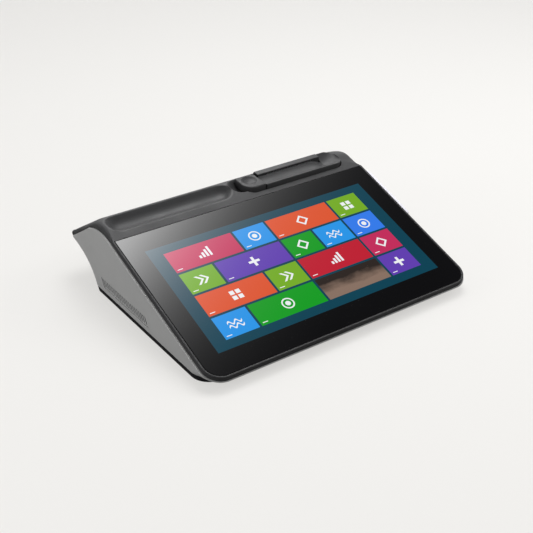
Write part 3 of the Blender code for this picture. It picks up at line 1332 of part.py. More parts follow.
def reader_faces():
    """Left face of the module and both faces of its card slot, along X."""
    right = HALF_WIDTH + READER_DEPTH
    return HALF_WIDTH + GAP, right - CARD_WALL - CARD_SLOT, right - CARD_WALL


def card_reader_housing():
    """Swipe module on the right side panel, with its slot open at both ends."""
    left, slot_left, slot_right = reader_faces()
    low, high = -READER_TOP - READER_HEIGHT, -READER_TOP
    outline = rounded(left, HALF_WIDTH + READER_DEPTH, READER_FRONT_V, READER_FRONT_V + READER_LENGTH, 0.0,
                      READER_CORNER, READER_CORNER)
    module = outline_solid("card_reader_housing", [outline], low, high, ON_DECK, "grey", READER_EDGE)
    cut(module, block("card_slot", (slot_left, READER_FRONT_V - OVERRUN, high - CARD_SLOT_DEPTH),
                      (slot_right, READER_FRONT_V + READER_LENGTH + OVERRUN, high + OVERRUN), matrix=ON_DECK))
    low, high = head_block()
    pocket_low = (low[0] - GAP, low[1] - GAP, low[2] - GAP)
    pocket_high = (slot_left + CARD_SLOT / 2, high[1] + GAP, high[2] + GAP)
    cut(module, block("head_pocket", pocket_low, pocket_high, matrix=ON_DECK))
    return module


def head_block():
    """Corners of the magnetic head, which stands a little into the slot."""
    slot_left = reader_faces()[1]
    middle = READER_FRONT_V + READER_LENGTH / 2
    low = -READER_TOP - CARD_SLOT_DEPTH + GAP
    return ((slot_left - HEAD_BLOCK_DEPTH, middle - HEAD_BLOCK_LENGTH / 2, low),
            (slot_left + HEAD_BLOCK_PROUD, middle + HEAD_BLOCK_LENGTH / 2, low + HEAD_BLOCK_HEIGHT))


def magnetic_head():
    low, high = head_block()
    block("magnetic_head", low, high, "steel", ON_DECK)


# Computer


def board_spots():
    return [(x, y) for x in (BOARD_LEFT_X + BOARD_HOLE_INSET, BOARD_RIGHT_X - BOARD_HOLE_INSET)
            for y in (BOARD_FRONT_Y + BOARD_HOLE_INSET, BOARD_REAR_Y - BOARD_HOLE_INSET * 4)]


def board_top():
    return BOARD_HEIGHT + BOARD_THICKNESS


def main_board():
    """Circuit board on four standoffs of the base plate."""
    holes = [circle(spot, STAKE_RADIUS + GAP, SMALL_ROUND // 2)[::-1] for spot in board_spots()]
    edge = rounded(BOARD_LEFT_X, BOARD_RIGHT_X, BOARD_FRONT_Y, BOARD_REAR_Y, 0.0, 0.0)
    outline_solid("main_board", [edge] + holes, BOARD_HEIGHT, board_top(), ALONG_Z, "board")


# Pieces that lie flat on the board: their low corner from the board's front left, and their size
PROCESSOR_PLACE, PROCESSOR_SIZE = (0.050, 0.030), (0.026, 0.026, 0.0018)
MEMORY_PLACE, MEMORY_SIZE = (0.012, 0.070), (0.0680, 0.0150, 0.0040)
STORAGE_PLACE, STORAGE_SIZE = (0.094, 0.004), (0.0300, 0.0420, 0.0035)
MODULE_GAP = 0.0060        # between the storage module and the radio module
RADIO_PLACE = (0.098, STORAGE_PLACE[1] + STORAGE_SIZE[1] + MODULE_GAP)
RADIO_SIZE = (0.0300, 0.0220, 0.0026)
CELL_PLACE, CELL_RADIUS, CELL_HEIGHT = (0.025, 0.024), 0.0100, 0.0032
SINK_MARGIN = 0.0120
FIN_COUNT = 9
FIN_HEIGHT = 0.0070
FIN_BASE = 0.0025
FIN_SHARE = 0.36
SPEAKER_SIZE = (0.0180, 0.0400, 0.0090)
SPEAKER_CONE_RADIUS = 0.0065
SPEAKER_CONE_DEPTH = 0.0020
SPEAKER_SIDE_INSET = 0.0020
SPEAKER_FRONT_Y = -0.0300
CABLE_WIDTH = 0.0250
CABLE_THICKNESS = 0.0004
CABLE_X = -0.0750


def on_board(name, place_share, size, finish):
    """A flat piece standing on the board."""
    low = (BOARD_LEFT_X + place_share[0], BOARD_FRONT_Y + place_share[1], board_top() + GAP)
    return block(name, low, [a + b for a, b in zip(low, size)], finish)


def board_pieces():
    """What stands on the main board."""
    on_board("processor", PROCESSOR_PLACE, PROCESSOR_SIZE, "chip")
    on_board("memory_module", MEMORY_PLACE, MEMORY_SIZE, "board")
    on_board("storage_module", STORAGE_PLACE, STORAGE_SIZE, "board")
    on_board("radio_module", RADIO_PLACE, RADIO_SIZE, "steel")
    x, y = BOARD_LEFT_X + CELL_PLACE[0], BOARD_FRONT_Y + CELL_PLACE[1]
    low = board_top() + GAP
    rod("coin_cell", CELL_RADIUS, (x, y, low), (x, y, low + CELL_HEIGHT), "steel", ROUND)


def heat_sink():
    """Finned block on the processor, as one extruded comb."""
    left = BOARD_LEFT_X + PROCESSOR_PLACE[0] - SINK_MARGIN
    front = BOARD_FRONT_Y + PROCESSOR_PLACE[1] - SINK_MARGIN
    width = PROCESSOR_SIZE[0] + 2 * SINK_MARGIN
    length = PROCESSOR_SIZE[1] + 2 * SINK_MARGIN
    low = board_top() + GAP + PROCESSOR_SIZE[2] + GAP
    pitch = length / (FIN_COUNT - 1 + FIN_SHARE)
    comb = [(front, low), (front + length, low)]
    for index in reversed(range(FIN_COUNT)):
        near = front + pitch * index
        far = near + pitch * FIN_SHARE
        foot = low + FIN_BASE
        comb += [(far, foot), (far, foot + FIN_HEIGHT), (near, foot + FIN_HEIGHT), (near, foot)]
    comb = comb[:2] + comb[3:-1]
    profile_solid("heat_sink", comb, left, left + width, "aluminium")


def speakers():
    """Two small speakers on the base plate's floor, beside the side panels."""
    width, length, height = SPEAKER_SIZE
    for side, left in (("left", -HALF_WIDTH + HOUSING_WALL + SPEAKER_SIDE_INSET),
                       ("right", HALF_WIDTH - HOUSING_WALL - SPEAKER_SIDE_INSET - width)):
        low = BASE_FLOOR + GAP
        box = block("speaker_" + side, (left, SPEAKER_FRONT_Y, low),
                    (left + width, SPEAKER_FRONT_Y + length, low + height), "chip")
        x, y = left + width / 2, SPEAKER_FRONT_Y + length / 2
        cut(box, rod("cone_" + side, SPEAKER_CONE_RADIUS, (x, y, low + height - SPEAKER_CONE_DEPTH),
                     (x, y, low + height + OVERRUN), steps=ROUND))


def display_cable():
    """Flat cable from the board's front edge up to the display bracket."""
    low = board_top() + GAP
    start = BOARD_FRONT_Y + SOCKET_WALL
    bend = start + OVERRUN
    high_v = bend / math.cos(DECK_TILT)
    foot, back = panel_back() - GAP - BRACKET_SHEET - GAP, CABLE_THICKNESS
    upper = deck_line(high_v, foot)
    upper_under = deck_line(high_v, foot - back)
    far = deck_line(high_v - OVERRUN, foot)
    far_under = deck_line(high_v - OVERRUN, foot - back)
    ribbon = [(start, low), (bend + back, low), (upper[0] + back, upper[1]), far, far_under,
              (upper_under[0], upper_under[1]), (bend, low + back), (start, low + back)]
    profile_solid("display_cable", ribbon, CABLE_X, CABLE_X + CABLE_WIDTH, "nylon")


# Sockets, from left to right: left edge from the recess's left side, width, height, way in
SOCKET_ROW = (
    ("power_inlet", 0.006, 0.0110, 0.0110, "round"),
    ("network_socket", 0.026, 0.0160, 0.0135, "plain"),
    ("serial_socket", 0.049, 0.0160, 0.0135, "plain"),
    ("drawer_socket", 0.071, 0.0135, 0.0120, "plain"),
    ("data_sockets_left", 0.0900, 0.0148, 0.0150, "double"),
    ("data_sockets_right", 0.1120, 0.0148, 0.0150, "double"),
)
SOCKET_LENGTH = 0.0180
SOCKET_HOLLOW = 0.0120
SOCKET_RIM = 0.0013
INLET_RADIUS = 0.0030
INLET_PIN = 0.0010


def sockets():
    """Sockets on the board's rear edge, seen through the socket panel."""
    low = board_top() + GAP
    for name, offset, width, height, kind in SOCKET_ROW:
        left = RECESS_LEFT_X + offset
        shell = block(name, (left, SOCKET_REAR_Y - SOCKET_LENGTH, low),
                      (left + width, SOCKET_REAR_Y, low + height), "chip" if kind == "round" else "steel")
        front = SOCKET_REAR_Y - SOCKET_HOLLOW
        if kind == "round":
            x, z = left + width / 2, low + height / 2
            bore = outline_solid(name + "_bore", [circle((x, -z), INLET_RADIUS, SMALL_ROUND),
                                                  circle((x, -z), INLET_PIN, SMALL_ROUND // 2)[::-1]],
                                 front, SOCKET_REAR_Y + OVERRUN, Matrix.Rotation(-math.pi / 2, 4, "X"))
            cut(shell, bore)
        elif kind == "plain":
            cut(shell, block(name + "_way", (left + SOCKET_RIM, front, low + SOCKET_RIM),
                             (left + width - SOCKET_RIM, SOCKET_REAR_Y + OVERRUN, low + height - SOCKET_RIM)))
        else:
            each = (height - SOCKET_RIM * 3) / 2
            for index in range(2):
                floor = low + SOCKET_RIM + index * (each + SOCKET_RIM)
                cut(shell, block("%s_way_%d" % (name, index), (left + SOCKET_RIM, front, floor),
                                 (left + width - SOCKET_RIM, SOCKET_REAR_Y + OVERRUN, floor + each)))


def socket_panel():
    """Thin plate behind the recess, with a window round each socket."""
    low = board_top() + GAP
    bottom, top = RECESS_LOW - RECESS_WALL, RECESS_LOW + RECESS_HEIGHT + RECESS_WALL
    plate = rounded(RECESS_LEFT_X - RECESS_WALL, RECESS_RIGHT_X + RECESS_WALL, -top, -bottom, 0.0, 0.0)
    windows = []
    for _, offset, width, height, _ in SOCKET_ROW:
        left = RECESS_LEFT_X + offset
        window = rounded(left - GAP, left + width + GAP, -low - height - GAP, -low + GAP, 0.0, 0.0)
        windows.append(window[::-1])
    outline_solid("socket_panel", [plate] + windows, SOCKET_PANEL_Y, SOCKET_PANEL_Y + SOCKET_PANEL,
                  Matrix.Rotation(-math.pi / 2, 4, "X"), "steel")


def build():
    clear_scene()
    top_cover()
    touch_glass()
    lcd_panel()
    display_bracket()
    main_housing()
    base_plate()
    base_screws()
    feet()
    vent_grilles()
    power_button()
    power_switch()
    printer_bezel()
    tear_bar()
    release_button()
    release_spring()
    printer_door()
    door_hinge_pin()
    platen()
    gear_train()
    feed_motor()
    printer_frame()
    print_head()
    paper_bay()
    latch_hook()
    latch_pin()
    card_reader_housing()
    magnetic_head()
    main_board()
    board_pieces()
    heat_sink()
    speakers()
    display_cable()
    sockets()
    socket_panel()


build()
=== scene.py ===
# %% [markdown]
# This lesson dresses a counter terminal with a sloped touch display. Its solids, bodies and joints
# come packed from the part's own source, as a fixed frame in metres. Each cell below adds one visible
# piece, or one finish, in that frame. New pieces could be modelled by hand in Edit Mode. Here they are
# worked out as arrays, because an array holds a whole surface at once and its formula stays readable.

# %% Load the frame
import math

import bmesh
import bpy
import numpy as np
from mathutils import Matrix, Vector


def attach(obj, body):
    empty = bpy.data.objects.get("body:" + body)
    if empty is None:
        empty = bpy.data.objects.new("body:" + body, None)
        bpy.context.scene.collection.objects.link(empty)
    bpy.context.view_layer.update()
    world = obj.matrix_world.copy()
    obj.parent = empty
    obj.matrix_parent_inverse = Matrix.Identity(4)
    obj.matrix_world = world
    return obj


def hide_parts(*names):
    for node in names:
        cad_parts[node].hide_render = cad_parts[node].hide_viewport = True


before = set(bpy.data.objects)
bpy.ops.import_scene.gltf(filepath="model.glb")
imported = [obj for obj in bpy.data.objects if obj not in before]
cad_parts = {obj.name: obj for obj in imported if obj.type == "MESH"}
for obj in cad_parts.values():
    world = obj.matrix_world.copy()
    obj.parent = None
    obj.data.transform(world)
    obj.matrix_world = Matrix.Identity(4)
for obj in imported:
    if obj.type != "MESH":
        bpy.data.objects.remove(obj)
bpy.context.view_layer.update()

# %% [markdown]
# The source works out its places from the middle of the lit picture, X to the right and Y to the back.
# The row frame has its origin at the bottom centre instead. One shift joins the two, so every number
# below can be the source's own, with no fitting by eye.

# %% Places that all pieces share
DECK_TILT, REAR_TILT = math.radians(19.5), math.radians(31.0)
DISPLAY_HEIGHT = 0.0450
GLASS_WIDTH, GLASS_LENGTH, GLASS_CORNER = 0.295, 0.182, 0.0155
GLASS_SINK, GLASS_THICKNESS, GLASS_MARGIN = 0.0002, 0.0018, 0.0004
GAP, PART_LINE = 0.0003, 0.0006
RIM_WIDTH, COVER_STEP, COVER_SKIRT = 0.0031, 0.0008, 0.0046
HALF_WIDTH = GLASS_WIDTH / 2 + GLASS_MARGIN + RIM_WIDTH
COVER_HALF = HALF_WIDTH - COVER_STEP
NOSE_V = -(GLASS_LENGTH / 2 + GLASS_MARGIN + RIM_WIDTH)
FRAME_CORNER = GLASS_CORNER + GLASS_MARGIN + RIM_WIDTH
RIM_ROUND = 0.0022
CREST_Y, CREST_RADIUS, TAIL_Y = 0.1186, 0.030, 0.187
READER_DEPTH = 0.0165

SIN, COS, COS_REAR = math.sin(DECK_TILT), math.cos(DECK_TILT), math.cos(REAR_TILT)
NOSE_Y = (NOSE_V + COVER_STEP + RIM_ROUND) * COS + RIM_ROUND * SIN - RIM_ROUND
SHIFT = np.array((-READER_DEPTH / 2, -(NOSE_Y + TAIL_Y) / 2, 0.0))


def together(*values):
    """Arrays or single numbers, one for each axis, side by side as points."""
    return np.stack(np.broadcast_arrays(*values), axis=-1)


def deck_line(v, w):
    """Y and Z of a point: v along the deck, turned by the tilt, and w square to it."""
    return v * COS - w * SIN, DISPLAY_HEIGHT + v * SIN + w * COS


def on_deck(u, v, w):
    """Points given square to the glass: X is u, and Y and Z come from deck_line."""
    return together(u, *deck_line(v, w))


def deck_height(y):
    """Height of the glass plane over y: its height at the picture plus y times the slope."""
    return DISPLAY_HEIGHT + y * math.tan(DECK_TILT)


print("shift to the row frame, mm:", np.round(SHIFT * 1000, 2))

# %% [markdown]
# Nearly all surfaces here are grids: rows of points, joined to their neighbours by four-sided faces.
# A grid that closes on itself makes a tube, and a flat lid closes each end of it. Single faces could be
# drawn one after the other, but one rule for the whole grid can't leave a hole or a doubled face.

# %% Make a mesh out of a grid of points
SMOOTH_ANGLE = math.radians(38)
MERGE_DISTANCE, SHORTEST_EDGE = 0.000002, 0.000001


def grid_faces(rows, columns, closed=False):
    """Each face joins point (r, c) with its neighbours at r + 1 and c + 1; a closed row starts again."""
    r, c = np.arange(rows - 1)[:, None], np.arange(columns if closed else columns - 1)[None, :]
    after = (c + 1) % columns
    corners = (r * columns + c, r * columns + after, (r + 1) * columns + after, (r + 1) * columns + c)
    return together(*corners).reshape(-1, 4).tolist()


def mesh_of(name, points, faces):
    """A mesh in the row frame with doubles merged and its faces turned outwards."""
    mesh = bpy.data.meshes.new(name)
    mesh.from_pydata((np.asarray(points).reshape(-1, 3) + SHIFT).tolist(), [], faces)
    shape = bmesh.new()
    shape.from_mesh(mesh)
    bmesh.ops.remove_doubles(shape, verts=shape.verts, dist=MERGE_DISTANCE)
    bmesh.ops.dissolve_degenerate(shape, edges=shape.edges, dist=SHORTEST_EDGE)
    bmesh.ops.recalc_face_normals(shape, faces=shape.faces)
    shape.to_mesh(mesh)
    shape.free()
    return mesh


def shade(mesh):
    """Round faces are shaded smooth, and edges sharper than one angle stay crisp."""
    mesh.shade_smooth()
    mesh.set_sharp_from_angle(angle=SMOOTH_ANGLE)


def piece(name, points, faces, finish=None):
    """An object of those points and faces, with its finish."""
    thing = bpy.data.objects.new(name, mesh_of(name, points, faces))
    bpy.context.scene.collection.objects.link(thing)
    shade(thing.data)
    if finish:
        thing.data.materials.append(finish)
    return thing


def tube(name, grid, finish=None):
    """A closed ring of points carried along a path: side faces, then a lid on either end."""
    grid = np.asarray(grid)
    rows, columns = grid.shape[:2]
    faces = grid_faces(rows, columns, closed=True)
    faces += [list(range(columns))[::-1], list(range((rows - 1) * columns, rows * columns))]
    return piece(name, grid, faces, finish)


# %% [markdown]
# A milled part gets its holes last, and so do these pieces. The holes could be left out of the grid, but
# their edges seldom follow its rows. Boolean modifiers join and cut whole solids instead, and each is
# applied at once, so that a finished piece is a plain mesh.

# %% Join, cut and thicken solids
CASE_MIDDLE = np.array((0.0, 0.05, 0.02))


def settle(thing):
    """Bake an object's modifiers into its mesh."""
    depsgraph = bpy.context.evaluated_depsgraph_get()
    mesh = bpy.data.meshes.new_from_object(thing.evaluated_get(depsgraph))
    thing.modifiers.clear()
    thing.data = mesh
    shade(mesh)
    return thing


def combine(thing, operation, others):
    """Join solids to a piece, or take them out of it, with the exact solver; then remove them."""
    for other in others:
        step = thing.modifiers.new(other.name, "BOOLEAN")
        step.operation, step.solver, step.object = operation, "EXACT", other
    settle(thing)
    for other in others:
        bpy.data.objects.remove(other)
    return thing


def cut(thing, *cutters):
    """The piece less the cutters."""
    return combine(thing, "DIFFERENCE", cutters)


def unite(thing, *others):
    """The piece and the others as one solid."""
    return combine(thing, "UNION", others)


def face_away(mesh, inside):
    """Flip a sheet if its faces, weighed by area, look towards a point that lies behind it."""
    count = len(mesh.polygons)
    normal, centre, area = np.empty(count * 3), np.empty(count * 3), np.empty(count)
    for values, what in ((normal, "normal"), (centre, "center"), (area, "area")):
        mesh.polygons.foreach_get(what, values)
    towards = ((centre.reshape(-1, 3) - inside - SHIFT) * normal.reshape(-1, 3)).sum(axis=1)
    if towards @ area < 0:
        mesh.flip_normals()


def wall(thing, thickness):
    """Give an open sheet of the case its wall, inwards from the surface that shows."""
    face_away(thing.data, CASE_MIDDLE)
    step = thing.modifiers.new("wall", "SOLIDIFY")
    step.thickness, step.offset, step.use_quality_normals = thickness, -1.0, True
    return settle(thing)


print("grid of 3 by 4 points gives", len(grid_faces(3, 4)), "faces")

# %% [markdown]
# Many parts are plates: glass, lids, lugs, and the cutters that make holes. A plate could be a cube with
# a Bevel modifier. Here it is one outline carried between two heights, because the outline can have any
# corners, and its rim is pulled in along a quarter circle so that the edge catches light.

# %% Outlines and plates
CORNER_STEPS, ROUND_STEPS, POST_STEPS, HOLE_STEPS = 14, 48, 24, 16
EDGE_STEPS, FLAT_RING = 4, 1.3
SMALLEST_LENGTH = 1e-9


def arc(centre, radius, start, end, steps):
    """Points at the centre plus radius times (cos, sin) of evenly spaced angles."""
    angle = np.linspace(start, end, steps + 1)
    return together(centre[0] + radius * np.cos(angle), centre[1] + radius * np.sin(angle))


def circle(centre, radius, steps=ROUND_STEPS):
    """A ring of points on an arc of a whole turn, without its first one repeated."""
    return arc(centre, radius, 0, 2 * math.pi, steps)[:-1]


def rounded(low_x, high_x, low_y, high_y, front_left, front_right, rear_right, rear_left):
    """A rectangle with four corner radii, counter-clockwise from the front left; each is a quarter circle."""
    corners = ((low_x, low_y, 1, 1, front_left, 2), (high_x, low_y, -1, 1, front_right, 3),
               (high_x, high_y, -1, -1, rear_right, 0), (low_x, high_y, 1, -1, rear_left, 1))
    quarter = math.pi / 2
    return np.concatenate([arc((x + side * r, y + up * r), r, quarter * turn, quarter * (turn + 1),
                               CORNER_STEPS if r > 0 else 0) for x, y, side, up, r, turn in corners])


def outwards(outline):
    """Unit normals of a counter-clockwise ring: the chord past each point, turned a quarter to the right."""
    chord = np.roll(outline, -1, axis=0) - np.roll(outline, 1, axis=0)
    normal = together(chord[:, 1], -chord[:, 0])
    return normal / np.maximum(np.linalg.norm(normal, axis=1, keepdims=True), SMALLEST_LENGTH)


def spread(outline, longest):
    """Add points so that no stretch of a closed ring is longer than a given length.

    A stretch of n such lengths, rounded up, gets n points: its start plus the stretch times k / n.
    """
    stretch = np.roll(outline, -1, axis=0) - outline
    count = np.maximum(1, np.ceil(np.linalg.norm(stretch, axis=1) / longest)).astype(int)
    first = np.repeat(np.cumsum(count) - count, count)
    share = (np.arange(count.sum()) - first) * np.repeat(1 / count, count)
    return np.repeat(outline, count, axis=0) + np.repeat(stretch, count, axis=0) * share[:, None]


def plate_rings(outline, low, high, edge):
    """Rings up a plate: at both rims the inset is edge (1 - cos a) and the height edge (1 - sin a).

    One more ring on each flat face, just inside its rim, keeps the shading of that face flat.
    """
    normal = outwards(outline)
    angle = np.linspace(math.pi / 2, 0, EDGE_STEPS + 1) if edge else np.zeros(1)
    rim = list(zip(edge * (1 - np.cos(angle)), edge * (1 - np.sin(angle))))
    levels = [(inset, low + drop) for inset, drop in rim]
    levels += [(inset, high - drop) for inset, drop in rim[::-1]]
    if edge:
        levels = [(edge * FLAT_RING, low)] + levels + [(edge * FLAT_RING, high)]
    return [(outline - normal * inset, z) for inset, z in levels]


def side_on(y, z, x):
    """A plate drawn in Y and Z and thickened along X."""
    return together(x, y, z)


def rear_on(x, z, y):
    """A plate drawn in X and Z, seen from behind, and thickened along Y."""
    return together(x, y, z)


def plate(name, outline, low, high, edge=0.0, plane=together, finish=None):
    """Carry an outline between two heights. The plane turns (a, b, height) into a place."""
    rings = [plane(ring[:, 0], ring[:, 1], z) for ring, z in plate_rings(outline, low, high, edge)]
    return tube(name, rings, finish)


print("rounded square has", len(rounded(0, 1, 0, 1, .1, .1, .1, .1)), "points")

# %% [markdown]
# The camera stands where the photograph's stood: low over the front left corner, a little tele. It could
# be moved by hand until the picture fits. Its place and direction come from the display's four corners
# instead, because their real size is known, and the fit is then the same all over the picture.

# %% Camera
CAMERA_PLACE = np.array((-0.4795, -0.6774, 0.4996)) + SHIFT
CAMERA_RIGHT = Vector((0.8272, -0.5613, -0.0255))
CAMERA_DOWN = Vector((-0.2915, -0.3898, -0.8736))
CAMERA_LENS, SENSOR_WIDTH = 66.08, 36.0
NEAREST, FARTHEST = 0.01, 20.0

camera = bpy.data.objects.new("camera", bpy.data.cameras.new("camera"))
bpy.context.scene.collection.objects.link(camera)
bpy.context.scene.camera = camera
camera.data.lens, camera.data.sensor_width = CAMERA_LENS, SENSOR_WIDTH
camera.data.clip_start, camera.data.clip_end = NEAREST, FARTHEST
backwards = CAMERA_RIGHT.cross(-CAMERA_DOWN).normalized()
turn = Matrix((CAMERA_RIGHT.normalized(), -CAMERA_DOWN.normalized(), backwards)).transposed()
camera.matrix_world = Matrix.Translation(CAMERA_PLACE.tolist()) @ turn.to_4x4()
print("camera at", [round(a, 3) for a in camera.location])

# %% [markdown]
# A finish is a tree of nodes. It could be wired by hand in the Shader Editor. In a script, a few helpers
# add and join the nodes, and a Number stands for a value in the tree. Python's signs between two Numbers
# add the Math node that works them out, so that a formula reads here as it would on paper.

# %% A small kit for shader nodes
finishes = {}


def node(owner, kind, inputs=None, **settings):
    """Add a shader node to a material or world, with its settings and input values."""
    made = owner.node_tree.nodes.new("ShaderNode" + kind)
    for name, value in settings.items():
        setattr(made, name, value)
    for name, value in (inputs or {}).items():
        made.inputs[name].default_value = value
    return made


def join(source, target, name):
    """Lead a Number, a node's first output or, for (node, name), its named one to a node's input."""
    if isinstance(source, Number):
        output = source.socket
    else:
        output = source[0].outputs[source[1]] if isinstance(source, tuple) else source.outputs[0]
    target.id_data.links.new(output, target.inputs[name])
    return target


def calc(operation, *terms):
    """One Math node on plain numbers and Numbers, in the tree of the first Number among them."""
    tree = next(term.socket.id_data for term in terms if isinstance(term, Number))
    made = tree.nodes.new("ShaderNodeMath")
    made.operation = operation
    for index, term in enumerate(terms):
        if isinstance(term, Number):
            join(term, made, index)
        else:
            made.inputs[index].default_value = term
    return Number(made.outputs[0])


def joined_by(operation):
    """What one of Python's signs does between a Number and another term: it adds a Math node."""
    return lambda first, second: calc(operation, first, second)


class Number:
    """A value that the shader works out at each point. A test gives one or nought.

    Between two tests, & is their product, so both have to hold, and | is the greater one.
    """

    __add__, __sub__ = joined_by("ADD"), joined_by("SUBTRACT")
    __mul__, __truediv__ = joined_by("MULTIPLY"), joined_by("DIVIDE")
    __lt__, __gt__ = joined_by("LESS_THAN"), joined_by("GREATER_THAN")
    __and__, __or__ = joined_by("MULTIPLY"), joined_by("MAXIMUM")

    def __init__(self, socket):
        self.socket = socket

    def __rsub__(self, other):
        return calc("SUBTRACT", other, self)

    def near(self, middle, half):
        """The value lies within half of the middle."""
        return calc("COMPARE", self, middle, half)


def numbers(made):
    """A node's X and Y outputs as Numbers."""
    return Number(made.outputs["X"]), Number(made.outputs["Y"])


def new_finish(name, roughness, metallic=0.0, specular=0.5):
    """A material with its shader's plain values set, kept by name."""
    finish = bpy.data.materials.new(name)
    finish.use_nodes = True
    shader = finish.node_tree.nodes["Principled BSDF"]
    shader.inputs["Roughness"].default_value = roughness
    shader.inputs["Metallic"].default_value = metallic
    shader.inputs["Specular IOR Level"].default_value = specular
    finishes[name] = finish
    return finish, shader


print("a Number knows", sum(callable(thing) for thing in vars(Number).values()), "methods")

# %% [markdown]
# The floor is a pale sheet with the faintest mottle. One bright colour would do, but it would throw much
# light back at the case, and the shadow on it would come out too dark. So most of its brightness is a
# glow that only the camera sees, which keeps the shadow weak, and to light that bounces it is grey.

# %% Floor
FLOOR_SIZE, FLOOR_BOUNCE, FLOOR_GLOW = 6.0, 0.25, 0.74
FLOOR_COLOURS, FLOOR_MOTTLE = ((0.78, 0.77, 0.75), (0.84, 0.83, 0.81)), 3.0


def paint_floor():
    """A pale floor with a very faint mottle, that glows to the camera alone."""
    finish, shader = new_finish("floor", 0.9, specular=0.1)
    mottle = join(node(finish, "TexNoise", {"Scale": FLOOR_MOTTLE}), node(finish, "ValToRGB"), "Fac")
    for stop, colour in zip(mottle.color_ramp.elements, FLOOR_COLOURS):
        stop.color = (*colour, 1)
    seen = Number(node(finish, "LightPath").outputs["Is Camera Ray"])
    share = node(finish, "MapRange", {"To Min": FLOOR_BOUNCE, "To Max": 1 - FLOOR_GLOW})
    shaded = join(mottle, node(finish, "VectorMath", operation="SCALE"), 0)
    join(join(seen, share, "Value"), shaded, "Scale")
    join(shaded, shader, "Base Color")
    join(mottle, shader, "Emission Color")
    join(seen * FLOOR_GLOW, shader, "Emission Strength")
    return finish


floor_mesh = bpy.data.meshes.new("floor")
half = FLOOR_SIZE / 2
floor_mesh.from_pydata([(-half, -half, 0), (half, -half, 0), (half, half, 0), (-half, half, 0)], [],
                       [(0, 1, 2, 3)])
floor = bpy.data.objects.new("floor", floor_mesh)
floor_mesh.materials.append(paint_floor())
bpy.context.scene.collection.objects.link(floor)
print("floor:", FLOOR_SIZE, "m square")

# %% [markdown]
# The room is level soft light. A photographed room could light it, but no picture is used here. The glass
# and the glossy edges mirror a soft card overhead, which only mirrors see, so the card can be placed for
# the glass alone. Three wide lamps shape the rest: one overhead and behind, one at the left for the side
# panel, and a weak one at the front right. They are hidden from mirrors, where their edges would show.

# %% World and lamps
WORLD_LEVEL, CARD_LEVEL, CARD_PEAK, CARD_SOFTNESS = 0.48, 9.5, 85.0, 5.0
CARD_MIDDLE, CARD_NARROWNESS = (0.156, 0.515, 0.0), (4.90, 6.48, 0.0)
PALE_WALL_TOP, PALE_WALL_FULL = 0.62, 0.35
LAMP_TARGET = (0.0, 0.0, 0.04)
LAMPS = {"overhead_lamp": ((0.38, 0.24, 1.3), 0.8, 17.5), "left_lamp": ((-1.5, 0.45, 0.45), 0.8, 9.6),
         "front_lamp": ((1.0, -0.5, 0.85), 0.6, 6.0)}


def paint_world(world):
    """Level room for soft light, white to the camera, and for mirrors a soft card overhead.

    The card's light is peak * e^-(distance^2), where distance is taken in X and Y of the direction,
    times the narrowness; it is capped softly at its level. Low directions are white, as pale walls are.
    """
    direction = (node(world, "TexCoord"), "Generated")
    away = node(world, "VectorMath", {1: CARD_MIDDLE}, operation="SUBTRACT")
    scaled = node(world, "VectorMath", {1: CARD_NARROWNESS}, operation="MULTIPLY")
    join(join(direction, away, 0), scaled, 0)
    square = join(scaled, node(world, "VectorMath", operation="DOT_PRODUCT"), 0)
    join(scaled, square, 1)
    card = calc("EXPONENT", Number(square.outputs["Value"]) * -1.0) * CARD_PEAK
    card = calc("SMOOTH_MIN", card, CARD_LEVEL, CARD_SOFTNESS)
    height = join(direction, node(world, "SeparateXYZ"), 0)
    pale_wall = node(world, "MapRange", {"From Min": PALE_WALL_TOP, "From Max": PALE_WALL_FULL},
                     interpolation_type="SMOOTHSTEP")
    join((height, "Z"), pale_wall, "Value")
    mirrored = card + Number(pale_wall.outputs[0])
    path = node(world, "LightPath")
    glossy, seen, through = (Number(path.outputs["Is %s Ray" % kind]) for kind in ("Glossy", "Camera",
                                                                                 "Transmission"))
    level = mirrored * glossy + (1.0 - glossy) * WORLD_LEVEL | seen | through
    background = world.node_tree.nodes["Background"]
    join(level, background, "Strength")
    background.inputs["Color"].default_value = (1.0, 1.0, 1.0, 1.0)


def lamp(name, place, size, power):
    """A square soft lamp that looks at the terminal and that no mirror shows."""
    light = bpy.data.lights.new(name, "AREA")
    light.shape, light.size, light.energy = "SQUARE", size, power
    thing = bpy.data.objects.new(name, light)
    thing.location = place
    thing.rotation_euler = (Vector(LAMP_TARGET) - Vector(place)).to_track_quat("-Z", "Y").to_euler()
    thing.visible_glossy = False
    bpy.context.scene.collection.objects.link(thing)


bpy.context.scene.world = bpy.data.worlds.new("room")
bpy.context.scene.world.use_nodes = True
bpy.context.scene.view_settings.view_transform = "Standard"
paint_world(bpy.context.scene.world)
for name, (place, size, power) in LAMPS.items():
    lamp(name, place, size, power)

# %% [markdown]
# Moulded plastic isn't one flat colour. The tool's spark-eroded skin gives it a fine grain, the shade
# drifts a little over the length of a moulding, and hands polish it in places. A scanned picture of
# plastic could show this, but it would need unwrapping. Three noises on Object coordinates make it at
# any size, and the pattern stays on the piece when it moves.

# %% Finishes: moulded plastic
DRIFT_SCALE, WEAR_SCALE, SHADE_DRIFT, NOISE_MIDDLE = 14.0, 45.0, 0.05, (0.3, 0.7)
POLISHED, DULLED, BUMP_STRENGTH = 0.05, 0.06, 0.6
CHARCOAL, GREY = (0.031, 0.031, 0.032), (0.345, 0.346, 0.343)
# The last colour is the card reader's grey plastic painted paler and bluish: its own grey plus a painted
# highlight.
BLACK, PALE_GREY_AND_PAINTED_HIGHLIGHT = (0.010, 0.010, 0.011), (0.60, 0.59, 0.64)


def object_noise(finish, scale, detail=2.0, stretch=(1.0, 1.0, 1.0)):
    """Noise on the piece's own place: the coordinates are stretched, then times the scale."""
    mapping = node(finish, "Mapping", {"Scale": stretch})
    join((node(finish, "TexCoord"), "Object"), mapping, "Vector")
    return join(mapping, node(finish, "TexNoise", {"Scale": scale, "Detail": detail}), "Vector")


